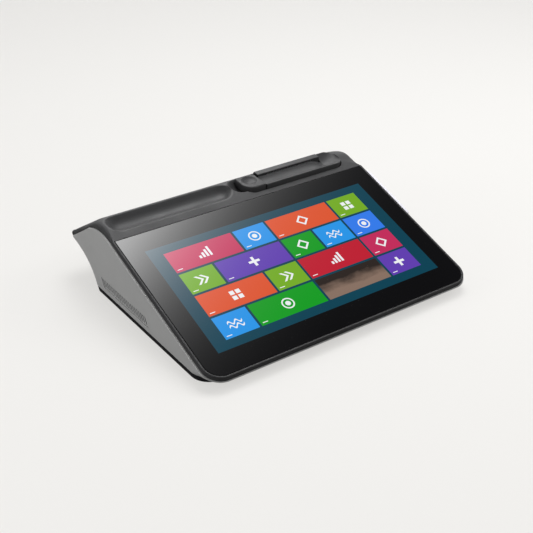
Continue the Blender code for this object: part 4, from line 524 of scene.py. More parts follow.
def between(finish, source, low, high, start=NOISE_MIDDLE[0], end=NOISE_MIDDLE[1]):
    """Map a value from start to end onto low to high."""
    limits = {"From Min": start, "From Max": end, "To Min": low, "To Max": high}
    return join(source, node(finish, "MapRange", limits), "Value")


def drift(finish, shader, colour, spread, source):
    """Colour times 1 - spread to 1 + spread, led by a noise."""
    ramp = node(finish, "ValToRGB")
    for element, share, place in zip(ramp.color_ramp.elements, (1 - spread, 1 + spread), NOISE_MIDDLE):
        element.color = (*(c * share for c in colour), 1.0)
        element.position = place
    join(source, ramp, "Fac")
    join((ramp, "Color"), shader, "Base Color")


def bumped(finish, shader, source, depth):
    """Raise the surface by a height, in metres."""
    bump = join(source, node(finish, "Bump", {"Strength": BUMP_STRENGTH, "Distance": depth}), "Height")
    join(bump, shader, "Normal")


def moulded(name, colour, roughness, grain=2600.0, depth=0.00006, specular=0.5):
    """Plastic with a grain of about 1 / grain metres, a slow drift in shade and worn, shinier patches."""
    finish, shader = new_finish(name, roughness, specular=specular)
    drift(finish, shader, colour, SHADE_DRIFT, object_noise(finish, DRIFT_SCALE))
    worn = between(finish, object_noise(finish, WEAR_SCALE), roughness - POLISHED, roughness + DULLED)
    join(worn, shader, "Roughness")
    bumped(finish, shader, object_noise(finish, grain, 3.0), depth)


moulded("charcoal", CHARCOAL, 0.48, specular=0.20)
moulded("grey", GREY, 0.50, specular=0.35)
moulded("black", BLACK, 0.55, specular=0.15)
# Painted highlight: this finish makes the card reader paler and bluer than its grey plastic.
moulded("silver", PALE_GREY_AND_PAINTED_HIGHLIGHT, 0.42)
print("finishes so far:", sorted(finishes))

# %% [markdown]
# The pieces inside have finishes of their own: rolled steel shows fine lines along the sheet, nylon is
# slightly uneven, a circuit board has darker tracks under its green lacquer, and rubber is dull. Most are
# plastics with other numbers. Metal lines are a noise pulled out one way, and tracks are square cells,
# because both then run over any piece without a drawing made for it.

# %% Finishes: metals, rubber, board and the rest
LINE_SCALE, LINE_DEPTH, LINE_CONTRAST = 1800.0, 0.00002, 0.10
HANDLING_SCALE, RUBBED, TARNISHED = 160.0, 0.06, 0.10
TRACK_SCALE, TRACK_DISORDER, TRACK_SHARE, TRACK_DEPTH, LACQUER_ROUGHNESS = 420.0, 0.35, 0.32, 0.00003, 0.35


def rolled(name, colour, roughness, stretch=(0.06, 1.0, 1.0)):
    """Metal whose fine lines are noise pulled out along the sheet."""
    finish, shader = new_finish(name, roughness, metallic=1.0)
    lines = object_noise(finish, LINE_SCALE, 3.0, stretch)
    drift(finish, shader, colour, LINE_CONTRAST, lines)
    worn = between(finish, object_noise(finish, HANDLING_SCALE), roughness - RUBBED, roughness + TARNISHED)
    join(worn, shader, "Roughness")
    bumped(finish, shader, lines, LINE_DEPTH)


def tracks(name, colour, track_colour):
    """Lacquered board: square cells at uneven places stand for its tracks."""
    finish, shader = new_finish(name, LACQUER_ROUGHNESS)
    cells = node(finish, "TexVoronoi", {"Scale": TRACK_SCALE, "Randomness": TRACK_DISORDER},
                 distance="CHEBYCHEV")
    join((node(finish, "TexCoord"), "Object"), cells, "Vector")
    lines = node(finish, "ValToRGB")
    lines.color_ramp.interpolation = "CONSTANT"
    for stop, share in zip(lines.color_ramp.elements, (track_colour, colour)):
        stop.color = (*share, 1.0)
    lines.color_ramp.elements[1].position = TRACK_SHARE
    join((cells, "Distance"), lines, "Fac")
    join((lines, "Color"), shader, "Base Color")
    bumped(finish, shader, (cells, "Distance"), TRACK_DEPTH)


moulded("rubber", (0.018, 0.018, 0.019), 0.82, grain=900.0, depth=0.00012, specular=0.3)
moulded("nylon", (0.68, 0.66, 0.60), 0.48, grain=1500.0, depth=0.00003)
moulded("chip", (0.018, 0.018, 0.020), 0.48, grain=4200.0, depth=0.00004)
moulded("panel", (0.004, 0.085, 0.130), 0.30, grain=3000.0, depth=0.00001)
moulded("glass", (0.006, 0.006, 0.007), 0.06, grain=80.0, depth=0.000002)
rolled("steel", (0.56, 0.56, 0.55), 0.32)
rolled("brass", (0.68, 0.50, 0.23), 0.30, (1.0, 0.06, 0.06))
rolled("aluminium", (0.72, 0.73, 0.74), 0.36, (0.05, 1.0, 1.0))
tracks("board", (0.010, 0.110, 0.050), (0.020, 0.170, 0.075))

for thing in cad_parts.values():
    thing.data.materials[0] = finishes[thing.data.materials[0].name]
print("CAD nodes dressed:", len(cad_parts))

# %% [markdown]
# The side view rules the whole case: a straight deck, a round crest, and a straight rear slope. It could
# be one long curve drawn by eye. Three simple stretches that touch are what the real case has, and each
# station on them has a place and a direction outwards. Any surface under the line, such as the housing's
# upper edge, is then the same line moved inwards.

# %% The side view as stations
REAR_OF_GLASS = GLASS_LENGTH / 2 + GLASS_MARGIN
SIDE_CREST_RADIUS = 0.068
crest_corner = np.array((CREST_Y, deck_height(CREST_Y)))
deck_down, rear_down = np.array((SIN, -COS)), np.array((-math.sin(REAR_TILT), -COS_REAR))


def crest_centre(radius):
    """Centre of the arc that touches the deck's line and the rear slope's line."""
    return crest_corner + (deck_down + rear_down) * radius / (1 + deck_down @ rear_down)


CREST = crest_centre(CREST_RADIUS)
CREST_TOP = CREST[1] + CREST_RADIUS


def rear_line(y, inset):
    """Y and Z on the rear slope over y, moved inwards at right angles to it."""
    z = deck_height(CREST_Y) - (y - CREST_Y) * math.tan(REAR_TILT)
    return together(y - inset * math.sin(REAR_TILT), z - inset * COS_REAR)


def side_stations(front_v, deck_steps, crest_steps, rear_steps, radius=CREST_RADIUS):
    """Places and outward directions along the deck, round the crest and down the rear slope."""
    centre = crest_centre(radius)
    v = np.linspace(front_v, (centre[0] - radius * SIN) / COS, deck_steps, endpoint=False)
    deck = together(*deck_line(v, 0.0))
    angle = np.linspace(math.pi / 2 + DECK_TILT, math.pi / 2 - REAR_TILT, crest_steps, endpoint=False)
    radial = together(np.cos(angle), np.sin(angle))
    rear = rear_line(np.linspace(centre[0] + radius * math.sin(REAR_TILT), TAIL_Y, rear_steps + 1), 0.0)
    places = np.concatenate((deck, centre + radius * radial, rear))
    normals = np.concatenate((np.tile((-SIN, COS), (len(deck), 1)), radial,
                              np.tile((math.sin(REAR_TILT), COS_REAR), (len(rear), 1))))
    return places, normals


def side_drop(places):
    """How much lower the side's wider arc runs than the crest: distance from its centre less its radius."""
    away = places - crest_centre(SIDE_CREST_RADIUS)
    angle = np.arctan2(away[:, 0], away[:, 1])
    on_arc = (angle > -DECK_TILT) & (angle < REAR_TILT)
    return np.where(on_arc, np.linalg.norm(away, axis=1) - SIDE_CREST_RADIUS, 0.0)


print("crest centre, mm:", np.round(CREST * 1000, 2), "top", round(CREST_TOP * 1000, 2))

# %% [markdown]
# The rear deck of the top cover is one sheet, bent along the side view. Its ends roll over into short
# skirts. The finger trough is a round bar's print with ball ends, and the well beside the button a
# ball's print. Both could be cut with Booleans, which leave a knife edge. A smooth minimum of deck and
# print rounds that edge, as the mould does.

# %% Top cover: shapes pressed into the deck
TROUGH_RADIUS, TROUGH_Y, TROUGH_LIFT = 0.0155, 0.1075, 0.0074
TROUGH_LEFT_X, TROUGH_RIGHT_X = -0.1300, -0.0190
WELL_RADIUS, WELL_Y, WELL_LIFT, WELL_LEFT_X, WELL_RIGHT_X = 0.0140, 0.1090, 0.0050, 0.0090, 0.0290
LIP_BLEND = 0.0042


def smooth_min(a, b, blend):
    """The lower of two heights; where they are closer than the blend, a parabola joins them."""
    share = np.clip(0.5 + (b - a) / (2 * blend), 0, 1)
    return b + (a - b) * share - blend * share * (1 - share)


def print_height(x, y, radius, axis_y, lift, left_x, right_x):
    """Underside of a ball-ended bar: its axis height minus the root of radius^2 - distance^2."""
    away = np.hypot(x - np.clip(x, left_x, right_x), y - axis_y)
    return deck_height(axis_y) + lift - np.sqrt(np.maximum(radius ** 2 - away ** 2, 0))


def carved(points):
    """The lower of the deck's points and the two prints, joined by a smooth minimum."""
    x, y, z = points[..., 0], points[..., 1], points[..., 2]
    trough = print_height(x, y, TROUGH_RADIUS, TROUGH_Y, TROUGH_LIFT, TROUGH_LEFT_X, TROUGH_RIGHT_X)
    well = print_height(x, y, WELL_RADIUS, WELL_Y, WELL_LIFT, WELL_LEFT_X, WELL_RIGHT_X)
    return together(x, y, smooth_min(z, np.minimum(trough, well), LIP_BLEND))


def ease(share):
    """Slow start and end: 3 s^2 - 2 s^3."""
    share = np.clip(share, 0, 1)
    return share * share * (3 - 2 * share)


print("trough, mm:", round((TROUGH_RIGHT_X - TROUGH_LEFT_X + 2 * TROUGH_RADIUS) * 1000), "long")

# %% [markdown]
# Each cross-section of the deck starts at the left skirt and ends at the right one. The ends are quarter
# ovals that are narrow at the glass and the tail and wide at the crest, so the sheet couldn't be one
# profile swept along. All sections are worked out at once, one row of an array for each station.

# %% Top cover: rear deck, crest and rear slope
LEFT_END, RIGHT_END, END_DROP = 0.0105, 0.0300, 0.97
SWELL_RATE, FADE_START, FADE_RUN = 3.4, 0.55, 0.4
SKIRT_POINTS, OVAL_POINTS, DECK_STATIONS = 4, 14, (26, 34, 40)
LEFT_SHARE, LEFT_COLUMNS, RIGHT_COLUMNS = 0.60, 180, 50
TAIL_ROUND, TAIL_POINTS = 0.0012, 5


def deck_end(radius, skirt):
    """One end of every section: up the skirt, then X is r (1 - cos a) and the depth drop (1 - sin a)."""
    turn, drop = np.linspace(0, math.pi / 2, OVAL_POINTS), np.minimum(radius, COVER_SKIRT * END_DROP)
    straight = np.linspace(skirt, drop, SKIRT_POINTS, endpoint=False, axis=1)[..., 0]
    inwards = np.concatenate((np.zeros(straight.shape), radius * (1 - np.cos(turn))), axis=1)
    return inwards, np.concatenate((straight, drop * (1 - np.sin(turn))), axis=1)


def across(left_round, right_round, skirt):
    """X and depth of every section: the left end, straight over, and the right end the other way round."""
    (left_in, left_depth), (right_in, right_depth) = deck_end(left_round, skirt), deck_end(right_round, skirt)
    columns = np.concatenate((np.linspace(0, LEFT_SHARE, LEFT_COLUMNS, endpoint=False),
                              np.linspace(LEFT_SHARE, 1, RIGHT_COLUMNS)))[1:-1]
    middle = -COVER_HALF + left_round + (2 * COVER_HALF - left_round - right_round) * columns
    x = np.concatenate((-COVER_HALF + left_in, middle, COVER_HALF - right_in[:, ::-1]), axis=1)
    return x, np.concatenate((left_depth, np.zeros(middle.shape), right_depth[:, ::-1]), axis=1)


def tail_rows(last, place, out):
    """Rows that round the sheet's rear edge: a quarter circle on and down, from the last section."""
    angle = np.linspace(0, math.pi / 2, TAIL_POINTS)[1:, None]
    on, down = TAIL_ROUND * np.sin(angle), TAIL_ROUND * (1 - np.cos(angle))
    lower = np.minimum(-(last[:, 1] - place[0]) / out[0] + down, COVER_SKIRT)
    return together(last[:, 0] * (1 - down / COVER_HALF),
                    place[0] - TAIL_ROUND * out[1] + on * out[1] - out[0] * lower,
                    place[1] + TAIL_ROUND * out[0] - on * out[0] - out[1] * lower)


def rear_deck():
    """Sections side by side: each point is its station less the depth along the outward direction."""
    places, normals = side_stations(REAR_OF_GLASS, *DECK_STATIONS)
    run = np.linspace(0, 1, len(places))
    swell = (ease(run * SWELL_RATE) * (1 - ease((run - FADE_START) / FADE_RUN)))[:, None]
    x, depth = across(RIM_ROUND + (LEFT_END - RIM_ROUND) * swell, RIM_ROUND + (RIGHT_END - RIM_ROUND) * swell,
                      COVER_SKIRT + side_drop(places)[:, None])
    rows = together(x, places[:, :1] - normals[:, :1] * depth, places[:, 1:] - normals[:, 1:] * depth)
    grid = carved(np.concatenate((rows, tail_rows(rows[-1], places[-1], normals[-1]))))
    return piece("rear_deck", grid, grid_faces(*grid.shape[:2]), finishes["charcoal"])


deck = rear_deck()
print("rear deck:", len(deck.data.polygons), "faces")

# %% [markdown]
# The printer needs a hole in that sheet. Its outline follows the button, the bezel and the door at the
# width of a part line. A grid made round the hole would be crooked, so two plates are cut out of the
# sheet: one for the key and bezel, one for the door. The sheet gets its wall after that.

# %% Opening for the printer
BUTTON_LEFT_X, BUTTON_CORNER, DECK_OPENING_Y = 0.0082, 0.0120, 0.0920
BEZEL_LEFT_X, BEZEL_RIGHT_X, BEZEL_FRONT_Y = 0.0318, 0.1330, 0.0935
BEZEL_REAR_Y, BEZEL_END_REAR_Y, BEZEL_END_X, BEZEL_TIP = 0.1120, 0.1205, 0.1137, 0.0110
DOOR_LEFT_X, DOOR_RIGHT_X, DOOR_HINGE_Y, DOOR_HINGE_DEPTH = 0.0330, 0.1130, 0.1610, 0.0040
KNUCKLE_RADIUS, DECK_WALL = 0.0037, 0.0019
CUTTER_LOW, CUTTER_HIGH = 0.05, 0.12
HINGE = rear_line(DOOR_HINGE_Y, DOOR_HINGE_DEPTH)

opening = rounded(BUTTON_LEFT_X - PART_LINE, BEZEL_RIGHT_X + PART_LINE, DECK_OPENING_Y,
                  BEZEL_END_REAR_Y + PART_LINE, BUTTON_CORNER, BEZEL_TIP + PART_LINE, BEZEL_TIP, 0.0)
door_way = rounded(DOOR_LEFT_X - PART_LINE, DOOR_RIGHT_X + PART_LINE, BEZEL_REAR_Y,
                   HINGE[0] + KNUCKLE_RADIUS + PART_LINE * 2, 0.0, 0.0, 0.0, 0.0)
cut(deck, plate("opening_cutter", opening, CUTTER_LOW, CUTTER_HIGH),
    plate("door_cutter", door_way, CUTTER_LOW, CUTTER_HIGH))
wall(deck, DECK_WALL)
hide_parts("top_cover")
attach(deck, "case")
print("opening cut:", len(deck.data.polygons), "faces")

# %% [markdown]
# Round the glass the same moulding is only a narrow bead with a ridge and a fine groove. A curve with a
# bevel object could make it, but its corners could twist. So one small section is carried along the
# case's outline as seen square to the glass: down the left side, round two corners, and back up.

# %% Top cover: bead round the glass
CORNER_POINTS, FRONT_POINTS, BEAD_SIDE_POINTS = 24, 60, 40
RIDGE, RIDGE_SLIMNESS, GROOVE, BEAD_ROOT, BEAD_TURN_POINTS = 0.0016, 8, 0.0003, 0.0080, 9
SEAT_DEPTH = GLASS_SINK + GLASS_THICKNESS + GAP
BEAD_WIDTH = RIM_WIDTH - COVER_STEP


def frame_path(inset, rear_v, side_points):
    """Places (u, v) and outward directions from the rear left, round the front, to the rear right."""
    radius = FRAME_CORNER - inset
    half_u, low_v = HALF_WIDTH - inset, NOSE_V + inset
    v = np.linspace(rear_v, low_v + radius, side_points, endpoint=False)
    turn = np.linspace(math.pi, 1.5 * math.pi, CORNER_POINTS)
    corner_out = together(np.cos(turn), np.sin(turn))
    corner = together(-half_u + radius + radius * np.cos(turn), low_v + radius + radius * np.sin(turn))
    u = np.linspace(-half_u + radius, half_u - radius, FRONT_POINTS + 2)[1:-1]
    half_path = np.concatenate((together(-half_u, v), corner))
    half_out = np.concatenate((np.tile((-1.0, 0.0), (len(v), 1)), corner_out))
    mirror = np.array((-1.0, 1.0))
    places = np.concatenate((half_path, together(u, low_v), half_path[::-1] * mirror))
    front_out = np.tile((0.0, -1.0), (len(u), 1))
    return places, np.concatenate((half_out, front_out, half_out[::-1] * mirror))


def carried(name, places, outward, section, finish):
    """Section points (outwards, height) set square to a path on the deck: place + outward times the first."""
    flat = places[:, None, :] + outward[:, None, :] * section[None, :, :1]
    return tube(name, on_deck(flat[..., 0], flat[..., 1], section[None, :, 1]), finish)


def bead_section():
    """Under the skirt, up the round outer edge, over a low ridge, down into the groove, and to the seat."""
    turn = np.linspace(0, math.pi / 2, BEAD_TURN_POINTS)
    edge = together(RIDGE - RIM_ROUND + (RIM_ROUND - RIDGE) * np.cos(turn), RIM_ROUND * (np.sin(turn) - 1))
    ridge = together(GROOVE - BEAD_WIDTH + RIDGE / 2 * (1 + np.cos(turn * 2)),
                     RIDGE / RIDGE_SLIMNESS * np.sin(turn * 2))
    return np.concatenate((
        ((-BEAD_ROOT, -COVER_SKIRT), (0.0, -COVER_SKIRT)), edge, ridge[1:-1],
        ((GROOVE - BEAD_WIDTH, -GROOVE), (-BEAD_WIDTH, -GROOVE * 2), (-BEAD_WIDTH, -SEAT_DEPTH),
         (-BEAD_ROOT, -SEAT_DEPTH))))


bead = carried("glass_bead", *frame_path(COVER_STEP, REAR_OF_GLASS, BEAD_SIDE_POINTS), bead_section(),
               finishes["charcoal"])
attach(bead, "case")
print("bead:", len(bead.data.polygons), "faces")

# %% [markdown]
# The housing under the cover is a softer, lighter grey. Its side walls fill the space between the
# cover's line and the bottom edge. They could be extruded and pushed about by hand. Each is really a
# ruled surface, made of straight lines from the upper edge to the lower one, so both edges are worked out
# first, as two lines with as many points.

# %% Housing: upper and lower edge
HOUSING_TOP, HOUSING_BOTTOM, HOUSING_WALL = COVER_SKIRT + GAP, 0.0064, 0.0024
BASE_REAR_Y, UNDERCUT_BEND = 0.1335, (0.143, 0.0335)
UNDERCUT_POINTS, FOOT_POINTS, SIDE_STATIONS = 36, 76, (60, 44, 20)
TRAY_HALF, TRAY_FRONT_Y, TRAY_CORNER = HALF_WIDTH, -0.0735, 0.0200


def undercut(share, inset=0.0):
    """Bezier curve from the base's rear edge up to the tail, moved inwards at right angles."""
    start, bend = np.array((BASE_REAR_Y, HOUSING_BOTTOM)), np.array(UNDERCUT_BEND)
    end, t = rear_line(TAIL_Y, HOUSING_TOP), np.asarray(share)[:, None]
    along = (bend - start) * (1 - t) + (end - bend) * t
    along /= np.linalg.norm(along, axis=1, keepdims=True)
    inwards = together(-along[:, 1], along[:, 0])
    return start * (1 - t) ** 2 + bend * 2 * t * (1 - t) + end * t ** 2 + inwards * inset


def run_of(line):
    """Length along a line at each of its points, as a share of the whole."""
    steps = np.cumsum(np.linalg.norm(np.diff(line, axis=0), axis=1))
    return np.concatenate(((0.0,), steps / steps[-1]))


def along_line(line, other):
    """Points on one line at the shares of length where another line has its points, from its far end."""
    line = line[::-1]
    return together(*(np.interp(run_of(other), run_of(line), line[:, k]) for k in range(2)))


def side_edges():
    """Upper and lower edge of a side wall in Y and Z, from the tail to the front corner."""
    places, normals = side_stations(NOSE_V + FRAME_CORNER, *SIDE_STATIONS, SIDE_CREST_RADIUS)
    front_foot = np.array((TRAY_FRONT_Y + TRAY_CORNER, HOUSING_BOTTOM))
    bottom_edge = np.linspace((BASE_REAR_Y, HOUSING_BOTTOM), front_foot, FOOT_POINTS)
    lower = np.concatenate((undercut(np.linspace(1, 0, UNDERCUT_POINTS)), bottom_edge[1:]))
    return along_line(places - normals * HOUSING_TOP, lower)[1:], lower[1:]


def housing_edges():
    """Top and bottom edge from the tail's left end round the nose to its right end, and outward directions.

    Round the nose, the bottom follows the base tray's plan, with its corners at the same turn as the top's.
    """
    upper, lower = side_edges()
    path, outward = frame_path(0.0, NOSE_V + FRAME_CORNER, 0)
    straight = HALF_WIDTH - FRAME_CORNER
    centre_x = np.clip(path[:, 0], -straight, straight) * (TRAY_HALF - TRAY_CORNER) / straight
    nose_foot = together(centre_x + TRAY_CORNER * outward[:, 0],
                         TRAY_FRONT_Y + TRAY_CORNER * (1 + outward[:, 1]), HOUSING_BOTTOM)
    nose_top = on_deck(path[:, 0], path[:, 1], -HOUSING_TOP)
    top, bottom = (np.concatenate((together(-HALF_WIDTH, *side.T), nose, together(HALF_WIDTH, *side[::-1].T)))
                   for side, nose in ((upper, nose_top), (lower, nose_foot)))
    out = np.zeros_like(top)
    out[:, 0] = np.sign(top[:, 0])
    nose = slice(len(upper), len(upper) + len(path))
    out[nose] = on_deck(outward[:, 0], outward[:, 1], 0.0) - on_deck(0.0, 0.0, 0.0)
    return top, bottom, out, nose_foot


print("side edge:", len(side_edges()[0]), "points")

# %% [markdown]
# A band along the housing's upper edge stands a little proud, with a soft crease under it, and fades out
# towards the crest. A bevel couldn't fade like that. Here each point of the wall knows how far below the
# edge it is, and the band and the edge's rounding are both added from that depth.

# %% Housing: side walls and nose
BAND_DEPTH, BAND_BLEND, BAND_PROUD, BAND_LEAST_WALL, BAND_FADE = 0.0042, 0.0014, 0.0010, 0.02, 0.05
TOP_EDGE, TOP_EDGE_SHARES, TOP_EDGE_MARGIN = 0.0007, (1.0, 0.62, 0.29, 0.08, 0.0), 1.05
WALL_POINTS = 44


def wall_depths(reach):
    """Depths below the top edge: reach times (1 - k / n)^2, then a few that follow the edge's rounding."""
    down = reach * np.linspace(1, 0, WALL_POINTS)[None, :-len(TOP_EDGE_SHARES) + 1] ** 2
    rim = np.repeat(TOP_EDGE * np.array([TOP_EDGE_SHARES]), len(reach), axis=0)
    return np.concatenate((np.maximum(down, TOP_EDGE * TOP_EDGE_MARGIN), rim), axis=1)


def housing_walls(top, bottom, out):
    """Ruled walls: top + direction * depth, pushed out by the band and in by the edge's quarter circle."""
    reach = np.linalg.norm(bottom - top, axis=1)[:, None]
    along, down = (bottom - top) / reach, wall_depths(reach)
    edge = TOP_EDGE - np.sqrt(TOP_EDGE ** 2 - np.clip(TOP_EDGE - down, 0, TOP_EDGE) ** 2)
    fade = ease(reach / BAND_LEAST_WALL) * ease((CREST[0] - top[:, 1:2]) / BAND_FADE)
    proud = BAND_PROUD * ease((BAND_DEPTH + BAND_BLEND - down) / BAND_BLEND) * fade
    outer = top[:, None] + along[:, None] * down[..., None] - out[:, None] * (edge - proud)[..., None]
    inner = np.stack((top, bottom), axis=1) - out[:, None] * HOUSING_WALL
    return tube("housing_shell", np.concatenate((outer, inner), axis=1), finishes["grey"])


top, bottom, out, nose_foot = housing_edges()
housing = housing_walls(top, bottom, out)
print("housing walls:", len(housing.data.polygons), "faces")

# %% [markdown]
# The rear of the housing curves in under the tail, a flange closes it round the base, and a deep frame
# lines the recess for the sockets. Four posts take the base's screws. All are one moulding, so they are
# made as simple solids and united into one. A single grid could hardly carry so many branches.

# %% Housing: undercut, flange, recess lining and posts
RECESS_X, RECESS_Z, RECESS_WALL = (-0.1190, 0.0150), (0.0125, 0.0325), 0.0020
SOCKET_PANEL_Y, SOCKET_PANEL = 0.1220, 0.0010
FLANGE, INSIDE_WALL, FLANGE_SETBACK = 0.0012, 0.0010, 0.0010 / 3
BASE_FRONT_Y, BASE_REAR_SLOPE, BASE_INSET, BASE_WALL, BASE_CORNER = -0.066, 0.0030, 0.0006, 0.0022, 0.022
BASE_HALF = HALF_WIDTH - BASE_INSET
SCREW_RADIUS, SCREW_GRIP, POST_INTO_WALL = 0.0014, 0.0040, 0.0008
POST_RADIUS = SCREW_RADIUS + GAP + HOUSING_WALL
LINING_POINTS, LINING_STRIDE, WAY_TOP = 200, 8, 0.02


def screw_spots():
    """X and Y of the four screws that hold the base to the housing's posts."""
    x = HALF_WIDTH - HOUSING_WALL - POST_RADIUS + POST_INTO_WALL
    return [(side * x, y) for side in (-1, 1)
            for y in (BASE_FRONT_Y + BASE_CORNER + POST_RADIUS, BASE_REAR_Y - POST_RADIUS * 3)]


def undercut_sheet(half):
    """The undercut's curve, and back along the same curve moved inwards, carried from side to side."""
    share = np.linspace(0, 1, UNDERCUT_POINTS)
    inner = undercut(share, HOUSING_WALL)[::-1]
    inner[:, 1] = np.minimum(inner[:, 1], rear_line(inner[:, 0], 0.0)[:, 1] - HOUSING_TOP / COS_REAR)
    ring = np.concatenate((undercut(share), inner))
    return tube("undercut_sheet", [together(x, ring[:, 0], ring[:, 1]) for x in (-half, half)])


def bottom_flange(half):
    """A thin plate on the housing's foot, open in the middle where the tray's inside is."""
    nose = nose_foot[:, :2] * (half / HALF_WIDTH) + (0.0, FLANGE_SETBACK)
    rear = BASE_REAR_Y - INSIDE_WALL
    flange = plate("flange", np.concatenate(([(-half, rear)], nose, [(half, rear)])), HOUSING_BOTTOM,
                   HOUSING_BOTTOM + FLANGE)
    corner = TRAY_CORNER - BASE_WALL
    way = rounded(-BASE_HALF + BASE_WALL, BASE_HALF - BASE_WALL, TRAY_FRONT_Y + BASE_WALL,
                  BASE_REAR_Y - BASE_REAR_SLOPE - BASE_WALL, corner, corner, 0, 0)
    return cut(flange, plate("way_down", way, 0.0, WAY_TOP))


def recess_lining():
    """The block round the recess: straight behind the socket panel, and along the undercut at its rear."""
    middle = undercut(np.linspace(0, 1, LINING_POINTS), HOUSING_WALL / 2)
    low, high = RECESS_Z[0] - RECESS_WALL, RECESS_Z[1] + RECESS_WALL
    beside = middle[(middle[:, 1] > low) & (middle[:, 1] < high)][::LINING_STRIDE]
    front = SOCKET_PANEL_Y + SOCKET_PANEL + GAP
    outline = np.concatenate(([(front, beside[0, 1])], beside, [(front, beside[-1, 1])]))
    left, right = RECESS_X[0] - RECESS_WALL, RECESS_X[1] + RECESS_WALL
    return plate("recess_lining", outline, left, right, plane=side_on)


posts = [plate("post", circle(spot, POST_RADIUS, POST_STEPS), HOUSING_BOTTOM, HOUSING_BOTTOM + SCREW_GRIP * 2)
         for spot in screw_spots()]
inner_half = HALF_WIDTH - INSIDE_WALL
unite(housing, undercut_sheet(inner_half), bottom_flange(inner_half), recess_lining(), *posts)
print("housing joined:", len(housing.data.polygons), "faces")

# %% [markdown]
# Now the holes: the recess that shows the sockets, a vent in each side, the power button's hole and the
# screws' ways. In the mould they are cores. Here they are plates that stand out of the wall on both
# sides, because a cutter that ends exactly on a face can leave a thin skin.

# %% Housing: openings
VENT_FRONT_Y, VENT_LENGTH, VENT_LOW, VENT_HEIGHT, VENT_LEAN = 0.0245, 0.0920, 0.0118, 0.0098, 0.0045
POWER_Y, POWER_HEIGHT, POWER_RADIUS = 0.118, 0.036, 0.0048
CUTTER_REACH = 0.004


def vent_outline(margin):
    """The slanted vent in Y and Z: a rectangle whose upper edge is set back."""
    low, high = VENT_LOW - margin, VENT_LOW + VENT_HEIGHT + margin
    front, rear = VENT_FRONT_Y - margin, VENT_FRONT_Y + VENT_LENGTH + margin
    return np.array(((front, low), (rear, low), (rear + VENT_LEAN, high), (front + VENT_LEAN, high)))


def wall_cutter(name, outline, x):
    """A plate through the side wall at X."""
    return plate(name, outline, x - CUTTER_REACH, x + CUTTER_REACH, plane=side_on)


recess = plate("recess", rounded(*RECESS_X, *RECESS_Z, 0, 0, 0, 0), SOCKET_PANEL_Y, TAIL_Y, plane=rear_on)
vents = [wall_cutter("vent", vent_outline(GAP), x) for x in (-HALF_WIDTH, HALF_WIDTH)]
power_hole = wall_cutter("power_hole", circle((POWER_Y, POWER_HEIGHT), POWER_RADIUS + GAP), HALF_WIDTH)
screw_holes = [plate("screw_hole", circle(spot, SCREW_RADIUS + GAP, HOLE_STEPS), 0.0,
                     HOUSING_BOTTOM + SCREW_GRIP) for spot in screw_spots()]
cut(housing, recess, power_hole, *vents, *screw_holes)
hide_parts("main_housing")
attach(housing, "case")
print("housing:", len(housing.data.polygons), "faces")

# %% [markdown]
# The base is a black tray, flush with the housing's foot, with a fine part line between them. It could be
# a beveled block with a Boolean for its inside. Here one plan is carried up in rings: round the lower
# edge, up the wall, over its thickness and down to the tray's floor, so that its rear wall can lean as
# well. The four screws sink into bosses, and the feet sit in round seats.

# %% Base tray
FOOT_RISE, FOOT_RADIUS, FOOT_SEAT = 0.0015, 0.008, 0.0010
SCREW_HEAD, SCREW_HEAD_RADIUS = 0.0016, 0.0027
FOOT_INSET, FOOT_FRONT_INSET, FOOT_REAR_INSET = 0.022, 0.020, 0.018
BASE_FLOOR, BASE_EDGE, BASE_TOP, BOSS_SINK = FOOT_RISE + BASE_WALL, 0.0009, HOUSING_BOTTOM - GAP, 0.0008
TRAY_RISE, TRAY_REAR_CORNER, TRAY_LONGEST, TRAY_EDGE_POINTS = 0.0010, 0.001, 0.012, 6


def foot_spots():
    """Names, X and Y of the four feet."""
    x, front, rear = BASE_HALF - FOOT_INSET, BASE_FRONT_Y + FOOT_FRONT_INSET, BASE_REAR_Y - FOOT_REAR_INSET
    return {"front_left": (-x, front), "front_right": (x, front),
            "rear_left": (-x, rear), "rear_right": (x, rear)}


def base_tray():
    """Rings at insets and heights; below the top edge each is drawn forward, the rear most of all."""
    plan = spread(rounded(-TRAY_HALF, TRAY_HALF, TRAY_FRONT_Y, BASE_REAR_Y, TRAY_CORNER, TRAY_CORNER,
                          TRAY_REAR_CORNER, TRAY_REAR_CORNER), TRAY_LONGEST)
    normal = outwards(plan)
    turn = np.linspace(math.pi / 2, 0, TRAY_EDGE_POINTS)
    levels = [(BASE_EDGE * (1 - math.cos(a)), TRAY_RISE + BASE_EDGE * (1 - math.sin(a))) for a in turn]
    levels += [(0.0, BASE_TOP - GAP), (GAP, BASE_TOP), (BASE_WALL, BASE_TOP), (BASE_WALL, BASE_FLOOR)]
    rings = []
    for inset, z in levels:
        ring = plan - normal * inset
        lean = BASE_REAR_SLOPE * (BASE_TOP - z) / (BASE_TOP - TRAY_RISE)
        share = np.clip((ring[:, 1] - TRAY_FRONT_Y) / (BASE_REAR_Y - TRAY_FRONT_Y), 0, 1)
        rings.append(together(ring[:, 0], ring[:, 1] - lean * share, z))
    return tube("base_tray", rings, finishes["black"])


base = base_tray()
unite(base, *(plate("boss", circle(spot, POST_RADIUS, POST_STEPS), BASE_FLOOR - BOSS_SINK, BASE_TOP)
              for spot in screw_spots()))
seats = [plate("seat", circle(spot, FOOT_RADIUS + GAP), 0.0, FOOT_RISE + FOOT_SEAT)
         for spot in foot_spots().values()]
sinks = [plate("sink", circle(spot, SCREW_HEAD_RADIUS + GAP, POST_STEPS), 0.0, FOOT_RISE + SCREW_HEAD + GAP)
         for spot in screw_spots()]
ways = [plate("way", circle(spot, SCREW_RADIUS + GAP, HOLE_STEPS), 0.0, WAY_TOP) for spot in screw_spots()]
cut(base, *seats, *sinks, *ways)
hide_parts("base_plate")
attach(base, "case")
print("base tray:", len(base.data.polygons), "faces")

